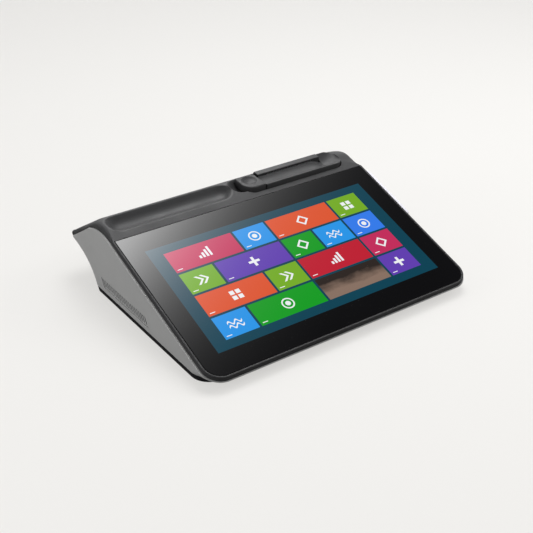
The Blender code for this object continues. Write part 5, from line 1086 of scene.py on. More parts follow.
# %% [markdown]
# Round pieces are turned: a profile of radius and height is carried round an axis. Cylinders with bevels
# would do for some, but one profile holds every step and rounding of a piece. The feet, the power button
# and the base's standoffs are made this way. The board is staked to its four standoffs.

# %% Turned pieces: feet and standoffs
BOARD_X, BOARD_Y, BOARD_HEIGHT, BOARD_THICKNESS = (-0.1270, 0.0230), (0.0120, 0.1160), 0.0150, 0.0016
STANDOFF_MARGIN, STANDOFF_REAR_MARGIN = 0.006, 0.024
STANDOFF_RADIUS, STAKE_RADIUS, STAKE_HEAD_RADIUS, STAKE_HEAD = 0.0030, 0.0010, 0.0018, 0.0008
SHOULDER_EDGE, STAKE_EDGE = 0.0003, 0.0005
PAD_EDGE, PAD_DISH, PAD_DISH_RADIUS, PAD_RING_RADIUS = 0.0007, 0.0004, 0.0052, 0.0056


def turned(name, profile, place, finish=None, steps=ROUND_STEPS):
    """Carry (radius, height) points round an axis; the place turns (a, b, height) into X, Y and Z."""
    profile, angle = np.asarray(profile), np.linspace(0, 2 * math.pi, steps, endpoint=False)
    grid = place(profile[:, :1] * np.cos(angle), profile[:, :1] * np.sin(angle), profile[:, 1:])
    return piece(name, grid, grid_faces(len(profile), steps, closed=True), finish)


def round_over(radius, height, edge, steps=6):
    """Profile points of a rounded outer edge, a quarter circle from the side to the top face."""
    return arc((radius - edge, height - edge), edge, 0, math.pi / 2, steps)


def round_under(radius, height, edge, steps=6):
    """The same edge the other way up, from the bottom face to the side."""
    return arc((radius - edge, height + edge), edge, -math.pi / 2, 0, steps)


def upright(x, y):
    """A place for turned pieces that stand on the floor at X and Y."""
    return lambda a, b, h: together(x + a, y + b, h)


def pad_profile():
    """A foot: a shallow dish underneath, a rounded edge, and a flat top in the seat."""
    top = FOOT_RISE + FOOT_SEAT - GAP
    return np.concatenate((((0, PAD_DISH), (PAD_DISH_RADIUS, PAD_DISH), (PAD_RING_RADIUS, 0.0)),
                           round_under(FOOT_RADIUS, 0.0, PAD_EDGE), ((FOOT_RADIUS, top), (0, top))))


def standoff_profile():
    """A post up to the board, its stake through the board, and the stake's melted round head."""
    shoulder, over = BOARD_HEIGHT - GAP, BOARD_HEIGHT + BOARD_THICKNESS + GAP
    return np.concatenate((((0, BASE_FLOOR), (STANDOFF_RADIUS, BASE_FLOOR)),
                           round_over(STANDOFF_RADIUS, shoulder, SHOULDER_EDGE, 3),
                           ((STAKE_RADIUS, shoulder), (STAKE_RADIUS, over), (STAKE_HEAD_RADIUS, over)),
                           round_over(STAKE_HEAD_RADIUS, over + STAKE_HEAD, STAKE_EDGE, 4),
                           ((0, over + STAKE_HEAD),)))


for side, spot in foot_spots().items():
    foot = turned("pad_" + side, pad_profile(), upright(*spot), finishes["rubber"])
    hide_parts("foot_" + side)
    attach(foot, "case")

standoff_spots = [(x, y) for x in (BOARD_X[0] + STANDOFF_MARGIN, BOARD_X[1] - STANDOFF_MARGIN)
                  for y in (BOARD_Y[0] + STANDOFF_MARGIN, BOARD_Y[1] - STANDOFF_REAR_MARGIN)]
for index, spot in enumerate(standoff_spots):
    standoff = turned("standoff_%d" % index, standoff_profile(), upright(*spot), finishes["black"],
                      POST_STEPS)
    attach(standoff, "case")
print("feet and standoffs:", len(foot_spots()), "and", len(standoff_spots))

# %% [markdown]
# The power button is turned about a level axis. A flange behind the wall keeps it from falling out, and
# its face has a rounded edge and a shallow dish for the fingertip.

# %% Turned pieces: power button
POWER_FLANGE, POWER_FLANGE_THICKNESS, POWER_PROUD, POWER_EDGE = 0.0014, 0.0012, 0.0008, 0.0006
POWER_DISH = ((0.0034, 0.0), (0.0026, 0.0002), (0.0, 0.0004))


def power_profile():
    """Flange, barrel, rounded edge and dished face, from the inner end outwards."""
    inner, face = HALF_WIDTH - HOUSING_WALL - GAP, HALF_WIDTH + POWER_PROUD
    wide, back = POWER_RADIUS + POWER_FLANGE, inner - POWER_FLANGE_THICKNESS
    return np.concatenate((((0, back), (wide, back), (wide, inner), (POWER_RADIUS, inner)),
                           round_over(POWER_RADIUS, face, POWER_EDGE),
                           [(radius, face - depth) for radius, depth in POWER_DISH]))


power = turned("power_cap", power_profile(), lambda a, b, h: side_on(POWER_Y + a, POWER_HEIGHT + b, h),
               finishes["charcoal"])
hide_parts("power_button")
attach(power, "power_key")
print("power button:", len(power.data.polygons), "faces")

# %% [markdown]
# The lit picture is a plain pattern of coloured tiles with simple white signs. It could be an image, but
# an image blurs when one looks near, and this script holds none. The shader works in millimetres on the
# glass. It finds the tile's column and row, and one number out of them picks the tile's colour and sign
# from two colour ramps.

# %% Screen: tiles
LIT_WIDTH, LIT_LENGTH, MILLIMETRES = 256.3, 135.6, 1000.0
TILE_WIDTH, TILE_LENGTH, SEAM, COLUMNS, ROWS = 35.9, 27.0, 2.5, 6, 4
PITCH_X, PITCH_Y = TILE_WIDTH + SEAM, TILE_LENGTH + SEAM
GRID_WIDTH, GRID_LENGTH = COLUMNS * PITCH_X - SEAM, ROWS * PITCH_Y - SEAM
TILE_COLOURS = {"b": (0.015, 0.29, 0.78), "s": (0.03, 0.19, 0.80), "l": (0.17, 0.40, 0.012),
                "c": (0.53, 0.022, 0.10), "o": (0.70, 0.085, 0.022), "p": (0.115, 0.045, 0.42),
                "g": (0.003, 0.32, 0.012), "r": (0.50, 0.010, 0.028), "w": (0.15, 0.10, 0.075)}
TILE_PLAN = ("ccbool", "lppgbs", "oolrrc", "bggwwp")
SIGN_PLAN = ("112445", "633472", "556114", "722883")
CELLS = [(row, column) for row in range(ROWS) for column in range(COLUMNS)]


def cell_table(finish, place, colours):
    """A ramp with one flat stop for each tile, in reading order."""
    ramp = node(finish, "ValToRGB")
    ramp.color_ramp.interpolation = "CONSTANT"
    stops = ramp.color_ramp.elements
    for index in range(len(colours) - 2):
        stops.new((index + 1) / len(colours))
    for index, colour in enumerate(colours):
        stops[index].position = index / len(colours)
        stops[index].color = (*colour, 1.0)
    return join(place, ramp, "Fac")


def tile_part(row, column):
    """Nought for the left half of a wide tile, one for its right half, and a half for a single tile."""
    plan = SIGN_PLAN[row]
    same_before = column > 0 and plan[column - 1] == plan[column]
    same_after = column < COLUMNS - 1 and plan[column + 1] == plan[column]
    return 1.0 if same_before else 0.0 if same_after else 0.5


def on_picture(finish):
    """X and Y in millimetres from the picture's middle, along the glass: the place, less the tilt."""
    flat = node(finish, "Mapping", {"Location": SHIFT + (0.0, 0.0, DISPLAY_HEIGHT),
                                    "Rotation": (DECK_TILT, 0, 0)}, vector_type="TEXTURE")
    join((node(finish, "TexCoord"), "Object"), flat, "Vector")
    in_mm = join(flat, node(finish, "VectorMath", operation="SCALE"), 0)
    in_mm.inputs["Scale"].default_value = MILLIMETRES
    return numbers(join(in_mm, node(finish, "SeparateXYZ"), 0))


print("picture of", COLUMNS, "by", ROWS, "tiles,", TILE_WIDTH, "by", TILE_LENGTH, "mm each")

# %% [markdown]
# Seven signs are enough: rising bars, a target, a plus, a diamond, four squares, a double chevron and
# a wave. They could be drawn as curves. Each is a test on the place within its tile instead, such as a
# distance that lies within a band, so it stays sharp at any size. An eighth kind of tile holds a soft
# landscape. None of them stands for a real product.

# %% Screen: signs
SIGN_SIZE = 1.2
BAR_START, BAR_PITCH, BAR_STEP, BAR_FIRST, BAR_FOOT = 6.0, 3.2, 2.4, 1.6, -4.6
WAVE_HEIGHT, WAVE_WIDTH, PLUS_HALF, PLUS_REACH, TARGET_DOT, CHEVRON_REACH = 1.6, 6.4, 1.2, 5.0, 2.3, 4.6
# Each band is its middle and half of its width.
BAR_BAND, ALL_BARS, TARGET_RING, DIAMOND_BAND = (1.1, 1.0), (0.3, 6.2), (4.8, 0.6), (4.9, 1.1)
SQUARE_BAND, FIRST_CHEVRON, SECOND_CHEVRON = (2.7, 2.0), (0.2, 1.1), (4.8, 1.1)
UPPER_WAVE, LOWER_WAVE = (1.6, 0.8), (-2.4, 0.8)


def bars(x, y):
    """Each bar is a band in X, cut off at a height that grows with the bar's number."""
    from_start = x + BAR_START
    index = calc("FLOOR", from_start / BAR_PITCH)
    top = index * BAR_STEP - BAR_FIRST
    in_bar = (from_start - index * BAR_PITCH).near(*BAR_BAND)
    return in_bar & (y < top) & (y > BAR_FOOT) & x.near(*ALL_BARS)


def signs(x, y):
    """The white signs by number, each a test on the place (x, y) from the tile's middle."""
    away = calc("SQRT", x * x + y * y)
    flat_x, flat_y = calc("ABSOLUTE", x), calc("ABSOLUTE", y)
    slant = x + flat_y
    swung = y - calc("SINE", x) * WAVE_HEIGHT
    return {1: bars(x, y),
            2: away.near(*TARGET_RING) | (away < TARGET_DOT),
            3: (x.near(0.0, PLUS_HALF) & y.near(0.0, PLUS_REACH)
                | x.near(0.0, PLUS_REACH) & y.near(0.0, PLUS_HALF)),
            4: (flat_x + flat_y).near(*DIAMOND_BAND),
            5: flat_x.near(*SQUARE_BAND) & flat_y.near(*SQUARE_BAND),
            6: (slant.near(*FIRST_CHEVRON) | slant.near(*SECOND_CHEVRON)) & y.near(0.0, CHEVRON_REACH),
            7: (swung.near(*UPPER_WAVE) | swung.near(*LOWER_WAVE)) & x.near(0.0, WAVE_WIDTH)}


print("signs:", max(int(number) for row in SIGN_PLAN for number in row), "kinds")

# %% [markdown]
# Now the parts are put together: the ground shows between the tiles, a tile's colour comes from its ramp,
# the landscape tones that colour, and the signs and small caption bars lie over it in white. The picture
# is given to the glass as light, as a display gives it, and the border round it stays black.

# %% Screen: picture and glass finish
LIT_GROUND, SIGN_WHITE, BORDER_BLACK = (0.0004, 0.051, 0.084), (0.84, 0.86, 0.88), (0.0, 0.0, 0.0)
GLASS_BLACK, SMUDGE_SCALE, SHEEN_SCALE = (0.0038, 0.0038, 0.0043), 38.0, 9.0
CAPTION_X, CAPTION_Y = (5.2, 2.8), (23.8, 0.45)
HILL_SCALE, HILL_STRETCH, HILL_HEIGHT, HILL_FOOT, HILL_TONE = 60.0, (1.0, 2.2, 2.2), 16.0, 8.0, 6.0
SKY_TONE, LAND_TONE = 0.15, 1.6
CLEAN, SMUDGED, SMUDGE_START, SMUDGE_END, SHEEN_CONTRAST = 0.030, 0.075, 0.45, 0.75, 0.10
MIX_SHARE, MIX_LOW, MIX_HIGH, MIX_RESULT = 0, 6, 7, 2
LANDSCAPE, HALF_NUMBER, BELOW_SINGLE, ABOVE_SINGLE, SIGN_STEP = 7.5, 0.4, 0.25, 0.75, 10.0


def blend(finish, low, high, share):
    """Colour low where the share is nought and high where it is one."""
    mix = node(finish, "Mix", data_type="RGBA")
    for end, colour in ((MIX_LOW, low), (MIX_HIGH, high)):
        if isinstance(colour, tuple) and len(colour) == 3:
            mix.inputs[end].default_value = (*colour, 1.0)
        else:
            join(colour, mix, end)
    join(share, mix, MIX_SHARE)
    return Number(mix.outputs[MIX_RESULT])


def landscape(finish, up, sign):
    """What a tile's colour is times: hills of noise against the sky where the sign is the landscape."""
    hills = Number(object_noise(finish, HILL_SCALE, 3.0, HILL_STRETCH).outputs[0])
    ground = hills * HILL_HEIGHT - (up + HILL_FOOT)
    land = Number(between(finish, ground, SKY_TONE, LAND_TONE, -HILL_TONE, HILL_TONE).outputs[0])
    return ((land - 1.0) & (sign > LANDSCAPE)) + 1.0


def lit_picture(finish):
    """The picture's colour inside the lit area, and black on the border."""
    u, v = on_picture(finish)
    x, y = (u + GRID_WIDTH / 2) / PITCH_X, (GRID_LENGTH / 2 - v) / PITCH_Y
    column, row = calc("FLOOR", x), calc("FLOOR", y)
    cell_x, cell_y = (x - column) * PITCH_X, (y - row) * PITCH_Y
    number = (row * COLUMNS + (column + 0.5)) / (COLUMNS * ROWS)
    colours = cell_table(finish, number, [TILE_COLOURS[TILE_PLAN[r][c]] for r, c in CELLS])
    kinds = cell_table(finish, number, [(tile_part(r, c), int(SIGN_PLAN[r][c]) / SIGN_STEP, 0.0)
                                        for r, c in CELLS])
    part, sign = numbers(join((kinds, "Color"), node(finish, "SeparateXYZ"), 0))
    sign = sign * SIGN_STEP
    on_grid = column.near((COLUMNS - 1) / 2, COLUMNS / 2) & row.near((ROWS - 1) / 2, ROWS / 2)
    tile = ((cell_x < TILE_WIDTH) | (part < BELOW_SINGLE)) & (cell_y < TILE_LENGTH) & on_grid
    across_tile, up = cell_x + (part * PITCH_X - (TILE_WIDTH + PITCH_X) / 2), TILE_LENGTH / 2 - cell_y
    white = cell_x.near(*CAPTION_X) & cell_y.near(*CAPTION_Y) & (part < ABOVE_SINGLE) & (sign < LANDSCAPE)
    for index, shape in signs(across_tile / SIGN_SIZE, up / SIGN_SIZE).items():
        white = white | (shape & sign.near(float(index), HALF_NUMBER))
    toned = join((colours, "Color"), node(finish, "VectorMath", operation="SCALE"), 0)
    join(landscape(finish, up, sign), toned, "Scale")
    shown = blend(finish, LIT_GROUND, toned, tile)
    shown = blend(finish, shown, SIGN_WHITE, white & tile)
    lit = u.near(0.0, LIT_WIDTH / 2) & v.near(0.0, LIT_LENGTH / 2)
    return blend(finish, BORDER_BLACK, shown, lit)


def screen_finish():
    """Black glass with a faint, uneven sheen of use, and the lit picture behind it."""
    finish, shader = new_finish("screen", 0.05)
    smudge = object_noise(finish, SMUDGE_SCALE, 4.0)
    join(between(finish, smudge, CLEAN, SMUDGED, SMUDGE_START, SMUDGE_END), shader, "Roughness")
    drift(finish, shader, GLASS_BLACK, SHEEN_CONTRAST, object_noise(finish, SHEEN_SCALE))
    join(lit_picture(finish), shader, "Emission Color")
    shader.inputs["Emission Strength"].default_value = 1.0


screen_finish()
print("screen finish has", len(finishes["screen"].node_tree.nodes), "nodes")

# %% [markdown]
# The touch glass is one flat plate over the display, black where nothing is lit, with two round corners
# at the front and a fine ground edge. A plane would show the same picture. A plate with a real thickness
# catches a line of light along its edge, as real glass does.

# %% Touch glass
GLASS_REAR_CORNER, GLASS_LONGEST, GLASS_EDGE = 0.0006, 0.02, 0.0003
glass_plan = spread(rounded(-GLASS_WIDTH / 2, GLASS_WIDTH / 2, -GLASS_LENGTH / 2, GLASS_LENGTH / 2,
                            GLASS_CORNER, GLASS_CORNER, GLASS_REAR_CORNER, GLASS_REAR_CORNER), GLASS_LONGEST)
glass = plate("screen_glass", glass_plan, -GLASS_SINK - GLASS_THICKNESS, -GLASS_SINK, GLASS_EDGE, on_deck,
              finishes["screen"])
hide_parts("touch_glass")
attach(glass, "case")
print("glass:", len(glass.data.polygons), "faces")

# %% [markdown]
# The release key is one closed skin. Its rings start as circles in the thumb dimple and turn step by
# step into the key's outline. A Boolean ball would leave the dimple's rim sharp. Rings that follow both
# shapes keep the dimple round and the edge even. Below the edge they go down the side, up inside the
# hollow, and end on the stem that presses the latch.

# %% Release key
BEZEL_RISE, BEZEL_WALL, BEZEL_DEPTH = 0.0046, 0.0022, 0.0080
DOOR_FRONT_RISE, DOOR_TOP_RISE, DOOR_TOP_Y, DOOR_FRONT_Y = 0.0019, 0.0028, 0.1205, 0.1131
BUTTON_REAR_Y, BUTTON_FRONT_Y, BUTTON_DEPTH, BUTTON_WALL = 0.1200, 0.0945, 0.0075, 0.0022
DIMPLE_RADIUS, DIMPLE_DEPTH, DIMPLE_Y, DIMPLE_EDGE = 0.0084, 0.0026, 0.1090, 0.0003
WIDEST_CIRCLE, CIRCLE_ROWS, BLEND_ROWS, KEY_EDGE_ROWS = 0.0092, 40, 10, 6
KEY_EDGE, KEY_SMALL_CORNER, KEY_LONGEST = 0.0014, 0.0006, 0.0008
STEM_X, STEM_Y, STEM_RADIUS, STEM_FOOT = 0.0200, 0.1010, 0.0020, 0.0531
bezel_front_height = deck_height(BEZEL_FRONT_Y) + BEZEL_RISE
key_rear_height = CREST_TOP + DOOR_FRONT_RISE


def key_height(y):
    """Height of the key's plane over y, a straight line from its front edge to its rear edge."""
    share = (y - BUTTON_FRONT_Y) / (BUTTON_REAR_Y - BUTTON_FRONT_Y)
    return bezel_front_height + (key_rear_height - bezel_front_height) * share


def ceiling(y):
    """Height of the hollow's roof inside the key."""
    return key_height(y) - BUTTON_WALL - DIMPLE_DEPTH / 2


def dimple(away):
    """Depth of a ball's print at a distance from its middle, with its rim rounded by a smooth minimum."""
    ball = (DIMPLE_RADIUS ** 2 + DIMPLE_DEPTH ** 2) / (2 * DIMPLE_DEPTH)
    print_low = ball - DIMPLE_DEPTH - np.sqrt(np.maximum(ball ** 2 - away ** 2, 0))
    return smooth_min(np.zeros_like(away), print_low, DIMPLE_EDGE)


def release_key():
    """Circles in the dimple, blends of circle and outline, the rounded edge, then the inside."""
    left, right = BUTTON_LEFT_X, BEZEL_LEFT_X - PART_LINE
    outline = spread(rounded(left, right, BUTTON_FRONT_Y, BUTTON_REAR_Y, BUTTON_CORNER, KEY_SMALL_CORNER,
                             KEY_SMALL_CORNER, KEY_SMALL_CORNER), KEY_LONGEST)
    centre, normal = np.array(((left + right) / 2, DIMPLE_Y)), outwards(outline)
    direction = (outline - centre) / np.linalg.norm(outline - centre, axis=1, keepdims=True)
    rings = [(centre + direction * radius, 0.0) for radius in np.linspace(0, WIDEST_CIRCLE, CIRCLE_ROWS)]
    last_circle, edge_start = rings[-1][0], outline - normal * KEY_EDGE
    rings += [(last_circle * (1 - share) + edge_start * share, 0.0)
              for share in np.linspace(0, 1, BLEND_ROWS)[1:]]
    rings += [(outline - normal * KEY_EDGE * (1 - math.sin(angle)), KEY_EDGE * (1 - math.cos(angle)))
              for angle in np.linspace(0, math.pi / 2, KEY_EDGE_ROWS)[1:]]
    rows = [together(ring[:, 0], ring[:, 1], key_height(ring[:, 1]) - drop
                     + dimple(np.linalg.norm(ring - centre, axis=1))) for ring, drop in rings]
    inner, stem = outline - normal * BUTTON_WALL, np.array((STEM_X, STEM_Y)) + STEM_RADIUS * direction
    floor = bezel_front_height - BUTTON_DEPTH
    rows += [together(ring[:, 0], ring[:, 1], height) for ring, height in (
        (outline, floor), (inner, floor), (inner, ceiling(inner[:, 1])), (stem, ceiling(stem[:, 1])),
        (stem, STEM_FOOT))]
    return tube("release_cap", rows, finishes["charcoal"])


key = release_key()
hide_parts("release_button")
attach(key, "release_key")
print("release key:", len(key.data.polygons), "faces")

# %% [markdown]
# A coil spring lifts the key. Wire is wound round a rod to make it, and a Screw modifier would wind it
# too. Here it is two coils of unequal width, one standing on the shelf and one under the key, so that
# the outer slides over the inner when the key goes down, and no turn cuts through another.

# %% Release spring
SHELF_TOP, SPRING_RADIUS, SPRING_WIRE, SPRING_TURNS = 0.0682, 0.0029, 0.00035, 4
SPRING_OVERLAP, SPRING_WIDER, TURN_POINTS, WIRE_POINTS = 0.0005, 2.6, 20, 8


def coil(name, radius, low, high):
    """Wire round a helix: its middle is (r cos a, r sin a, z), and rings stand across the wire's way."""
    angle = np.linspace(0, 2 * math.pi * SPRING_TURNS, SPRING_TURNS * TURN_POINTS + 1)
    level = np.linspace(low + SPRING_WIRE, high - SPRING_WIRE, len(angle))
    radial = together(np.cos(angle), np.sin(angle), 0.0)
    way = np.gradient(together(radial[:, 0] * radius, radial[:, 1] * radius, level), axis=0)
    way /= np.linalg.norm(way, axis=1, keepdims=True)
    turn = np.linspace(0, 2 * math.pi, WIRE_POINTS + 1)[:-1, None]
    ring = radial[:, None] * np.cos(turn) + np.cross(way, radial)[:, None] * np.sin(turn)
    middle = radial * radius + together(STEM_X, STEM_Y, level)
    return tube(name, middle[:, None] + ring * SPRING_WIRE, finishes["steel"])


key_ceiling = ceiling(STEM_Y) - GAP
middle_level = (SHELF_TOP + key_ceiling) / 2
wide_radius = SPRING_RADIUS + SPRING_WIRE * SPRING_WIDER
for name, radius, low, high, body in (
        ("release_spring_foot", SPRING_RADIUS, SHELF_TOP, middle_level + SPRING_OVERLAP, "case"),
        ("release_spring_head", wide_radius, middle_level - SPRING_OVERLAP, key_ceiling, "release_key")):
    wound = coil(name, radius, low, high)
    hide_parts("release_spring")
    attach(wound, body)
print("spring, mm: from", round(SHELF_TOP * 1000, 1), "to", round(key_ceiling * 1000, 1))

# %% [markdown]
# The bezel is a scoop: its top is an arc that drops from a front edge and climbs to the paper's way
# out, and towards the right end it becomes a shallow bowl. Sculpting could find that change. Here two
# formulas, one for each form, are blended along X, so it stays smooth.

# %% Printer bezel: its upper face
SCOOP_RADIUS, SCOOP_Y, BEZEL_EDGE = 0.0168, 0.1013, 0.0007
BOWL_START_X, BOWL_DEPTH = 0.1010, 0.0064
scoop_height = bezel_front_height + math.sqrt(SCOOP_RADIUS ** 2 - (SCOOP_Y - BEZEL_FRONT_Y) ** 2)
bezel_rear_top = CREST_TOP + DOOR_TOP_RISE
bezel_floor = bezel_front_height - BEZEL_DEPTH


def scoop_top(y):
    """Height of the scoop: the arc's centre less its root up to the rear edge, then a straight climb."""
    arc_y = np.minimum(y, BEZEL_REAR_Y)
    low = scoop_height - np.sqrt(SCOOP_RADIUS ** 2 - (arc_y - SCOOP_Y) ** 2)
    end = scoop_height - math.sqrt(SCOOP_RADIUS ** 2 - (BEZEL_REAR_Y - SCOOP_Y) ** 2)
    climb = (bezel_rear_top - end) / (BEZEL_END_REAR_Y - BEZEL_REAR_Y)
    return np.where(y > BEZEL_REAR_Y, end + climb * (y - BEZEL_REAR_Y), low)


def bowl_top(x, y):
    """Height of the bowl at the right end: a line between its two edges, less a parabola that grows
    shallow like a circle towards the tip. Before the bowl it is the scoop, and the two blend."""
    t = np.clip((y - BEZEL_FRONT_Y) / (BEZEL_END_REAR_Y - BEZEL_FRONT_Y), 0, 1)
    share = np.clip((x - BOWL_START_X) / (BEZEL_RIGHT_X - BOWL_START_X), 0, 1)
    depth = BOWL_DEPTH * math.sqrt(1 - share ** 2) + BEZEL_EDGE / 2
    bowl = bezel_front_height + (bezel_rear_top - bezel_front_height) * t - depth * 4 * t * (1 - t)
    mix = ease((x - BOWL_START_X) / (BEZEL_END_X - BOWL_START_X))
    return scoop_top(y) * (1 - mix) + bowl * mix


print("bezel, mm: floor", round(bezel_floor * 1000, 1), "rear top", round(bezel_rear_top * 1000, 1))

# %% [markdown]
# Sections of the bezel stand side by side along X, each a closed ring with the wall's thickness. Near the
# right tip the sections get shorter, so that seen from above the tip is round, and behind the door they
# reach further back. A solid with a Boolean hollow would come out the same but with crooked faces.

# %% Printer bezel: sections
LATCH_WAY_X, LATCH_WAY_Y, LATCH_WAY_Z = (0.0354, 0.0390), 0.1075, (0.0745, 0.0803)
TOP_POINTS, HOLLOW_POINTS, BEZEL_EDGE_POINTS = 30, 12, 6
MIDDLE_SECTIONS, BOWL_SECTIONS, TIP_SECTIONS = 24, 6, 16
BEFORE_TIP, TIP_END = 0.001, 0.0002


def bezel_section(x, front_y, rear_y, hollow):
    """Ring of a section: up the front, over the rounded edge, along the scoop, down the rear, and inside."""
    y = np.linspace(front_y + BEZEL_EDGE, rear_y - BEZEL_EDGE, TOP_POINTS)
    top = together(y, bowl_top(x, y))
    turn = np.linspace(math.pi / 2, 0, BEZEL_EDGE_POINTS)[:-1]
    on, down = BEZEL_EDGE * np.sin(turn), BEZEL_EDGE * (1 - np.cos(turn))
    front = together(top[0, 0] - on, top[0, 1] - down)
    rear = together(top[-1, 0] + on[::-1], top[-1, 1] - down[::-1])
    inner_y = np.linspace(rear_y - BEZEL_WALL, front_y + BEZEL_WALL, HOLLOW_POINTS)
    inner_z = bowl_top(x, inner_y) - BEZEL_WALL if hollow else bezel_floor
    ring = (((front_y, bezel_floor),), front, top, rear, ((rear_y, bezel_floor), (inner_y[0], bezel_floor)),
            together(inner_y, inner_z), ((inner_y[-1], bezel_floor),))
    return np.concatenate(ring)


def tip_reach(x):
    """How far the round tip draws both edges in: radius less the root of radius^2 - distance^2."""
    away = np.clip(x - (BEZEL_RIGHT_X - BEZEL_TIP), 0, BEZEL_TIP)
    return BEZEL_TIP - math.sqrt(BEZEL_TIP ** 2 - away ** 2)


def printer_bezel():
    """Sections at their X, rear edge and hollow: left wall, scoop, bowl, and the solid round tip."""
    wall_end = BEZEL_LEFT_X + BEZEL_WALL
    round_x = BEZEL_RIGHT_X - BEZEL_TIP * (1 - np.sin(np.linspace(0, math.pi / 2, TIP_SECTIONS)))
    stations = [(x, BEZEL_REAR_Y, False) for x in (BEZEL_LEFT_X, wall_end)]
    stations += [(x, BEZEL_REAR_Y, True) for x in np.linspace(wall_end, BEZEL_END_X, MIDDLE_SECTIONS)]
    bowl_x = np.linspace(BEZEL_END_X, round_x[0] - BEFORE_TIP, BOWL_SECTIONS)
    stations += [(x, BEZEL_END_REAR_Y, True) for x in bowl_x]
    stations += [(x, BEZEL_END_REAR_Y, False) for x in round_x - TIP_END]
    rows = []
    for x, rear_y, hollow in stations:
        reach = tip_reach(x)
        section = bezel_section(x, BEZEL_FRONT_Y + reach, rear_y - reach, hollow)
        rows.append(together(x, section[:, 0], section[:, 1]))
    return tube("bezel_scoop", rows, finishes["charcoal"])


bezel = printer_bezel()
latch_way = rounded(*LATCH_WAY_X, LATCH_WAY_Y, BEZEL_REAR_Y + PART_LINE, 0, 0, 0, 0)
cut(bezel, plate("latch_way", latch_way, *LATCH_WAY_Z))
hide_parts("printer_bezel")
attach(bezel, "case")
print("bezel:", len(bezel.data.polygons), "faces")

# %% [markdown]
# The door covers the paper. Its profile runs from the lip over the crest and down the rear slope to
# the hinge, then back along its inner face. A bevel would round all its edges alike. Here each corner of
# the profile names its own radius, and only the lip's and the top's are round.

# %% Printer door: profile
DOOR_WALL, DOOR_LIP, DOOR_TOP_ROUND, LIP_ROUND, LIP_FOOT_ROUND = 0.0024, 0.0046, 0.0020, 0.0006, 0.0003
ALMOST_STRAIGHT, DOOR_CREST_START, CREST_POINTS, KNUCKLE_STEPS = 0.02, 0.0035, 14, 16


def corners_rounded(corners, steps=5):
    """Outline through (a, b, radius) corners: each becomes an arc that touches both its sides.

    The arc's centre lies on the corner's middle line at radius / sin(half angle). Its points are those of
    the chord between the two touching points, pushed out to the radius. No radius leaves the corner.
    """
    corners = np.asarray(corners, dtype=float)
    points, radius = corners[:, :2], corners[:, 2:]
    to_last, to_next = (np.roll(points, way, axis=0) - points for way in (1, -1))
    to_last /= np.linalg.norm(to_last, axis=1, keepdims=True)
    to_next /= np.linalg.norm(to_next, axis=1, keepdims=True)
    half_angle = np.arccos(np.clip((to_last * to_next).sum(axis=1, keepdims=True), -1, 1)) / 2
    is_round = ((radius > 0) & (half_angle <= math.pi / 2 - ALMOST_STRAIGHT))[:, 0]
    points_of, radius, half_angle, to_last, to_next = (
        values[is_round] for values in (points, radius, half_angle, to_last, to_next))
    middle, reach = to_last + to_next, radius / np.tan(half_angle)
    middle /= np.linalg.norm(middle, axis=1, keepdims=True)
    centre = points_of + middle * radius / np.sin(half_angle)
    first, last = points_of + to_last * reach - centre, points_of + to_next * reach - centre
    share = np.linspace(0, 1, steps + 1)[None, :, None]
    bow = first[:, None] * (1 - share) + last[:, None] * share
    arcs = centre[:, None] + bow / np.linalg.norm(bow, axis=2, keepdims=True) * radius[:, None]
    counts = np.where(is_round, steps + 1, 1)
    outline = np.repeat(points, counts, axis=0)
    outline[np.repeat(is_round, counts)] = arcs.reshape(-1, 2)
    return outline


def plain(points):
    """Corners without a radius."""
    return together(points[:, 0], points[:, 1], 0.0)


def door_outline():
    """Lip, top, crest, rear slope and knuckle, and back along the crest's inner arc, in Y and Z."""
    top, front = CREST_TOP + DOOR_TOP_RISE, CREST_TOP + DOOR_FRONT_RISE
    start = math.asin((DOOR_TOP_Y + DOOR_CREST_START - CREST[0]) / CREST_RADIUS)
    angle = np.linspace(start, REAR_TILT, CREST_POINTS)
    crest, inner = (together(CREST[0] + radius * np.sin(angle), CREST[1] + radius * np.cos(angle))
                    for radius in (CREST_RADIUS, CREST_RADIUS - DOOR_WALL))
    knuckle = arc(HINGE, DOOR_HINGE_DEPTH, math.pi / 2 - REAR_TILT, -math.pi / 2 - REAR_TILT, KNUCKLE_STEPS)
    inner_rear = rear_line(DOOR_HINGE_Y - DOOR_HINGE_DEPTH, DOOR_WALL)
    lip_rear, lip_foot = DOOR_FRONT_Y + DOOR_WALL, front - DOOR_LIP
    corners = np.concatenate((
        ((DOOR_FRONT_Y, front, LIP_ROUND), (DOOR_TOP_Y, top, DOOR_TOP_ROUND)), plain(crest), plain(knuckle),
        plain(inner_rear[None]), plain(inner[::-1]),
        ((DOOR_TOP_Y, top - DOOR_WALL, 0), (lip_rear, front - DOOR_WALL, 0),
         (lip_rear, lip_foot, LIP_FOOT_ROUND), (DOOR_FRONT_Y, lip_foot, LIP_FOOT_ROUND))))
    return corners_rounded(corners)[::-1]


print("door's outline:", len(door_outline()), "points")

# %% [markdown]
# The door turns with its two hangers, which carry the platen, so they are joined to it. Bores take the
# hinge pin and the platen's shaft, and a round way in the lip lets the platen's gear turn.

# %% Printer door: hangers, bores and the gear's way
PIN_RADIUS, SHAFT_RADIUS, PLATEN = 0.0012, 0.0015, (0.1179, 0.0763)
PAPER_X, PAPER_WIDTH, HANGER = 0.0730, 0.0580, 0.0020
GEAR_TIP, GEAR_X = 0.0063, (0.1068, 0.1116)
DOOR_EDGE, HANGER_EDGE = 0.0005, 0.0002


def hanger_outline():
    """Half a ring under the shaft, and straight up into the door, in Y and Z."""
    radius = SHAFT_RADIUS + GAP + HANGER
    top = CREST_TOP + DOOR_FRONT_RISE - DOOR_WALL / 2
    ring = arc(PLATEN, radius, math.pi, 2 * math.pi, POST_STEPS)
    return np.concatenate((ring, ((PLATEN[0] + radius, top), (PLATEN[0] - radius + DOOR_WALL / 2, top))))


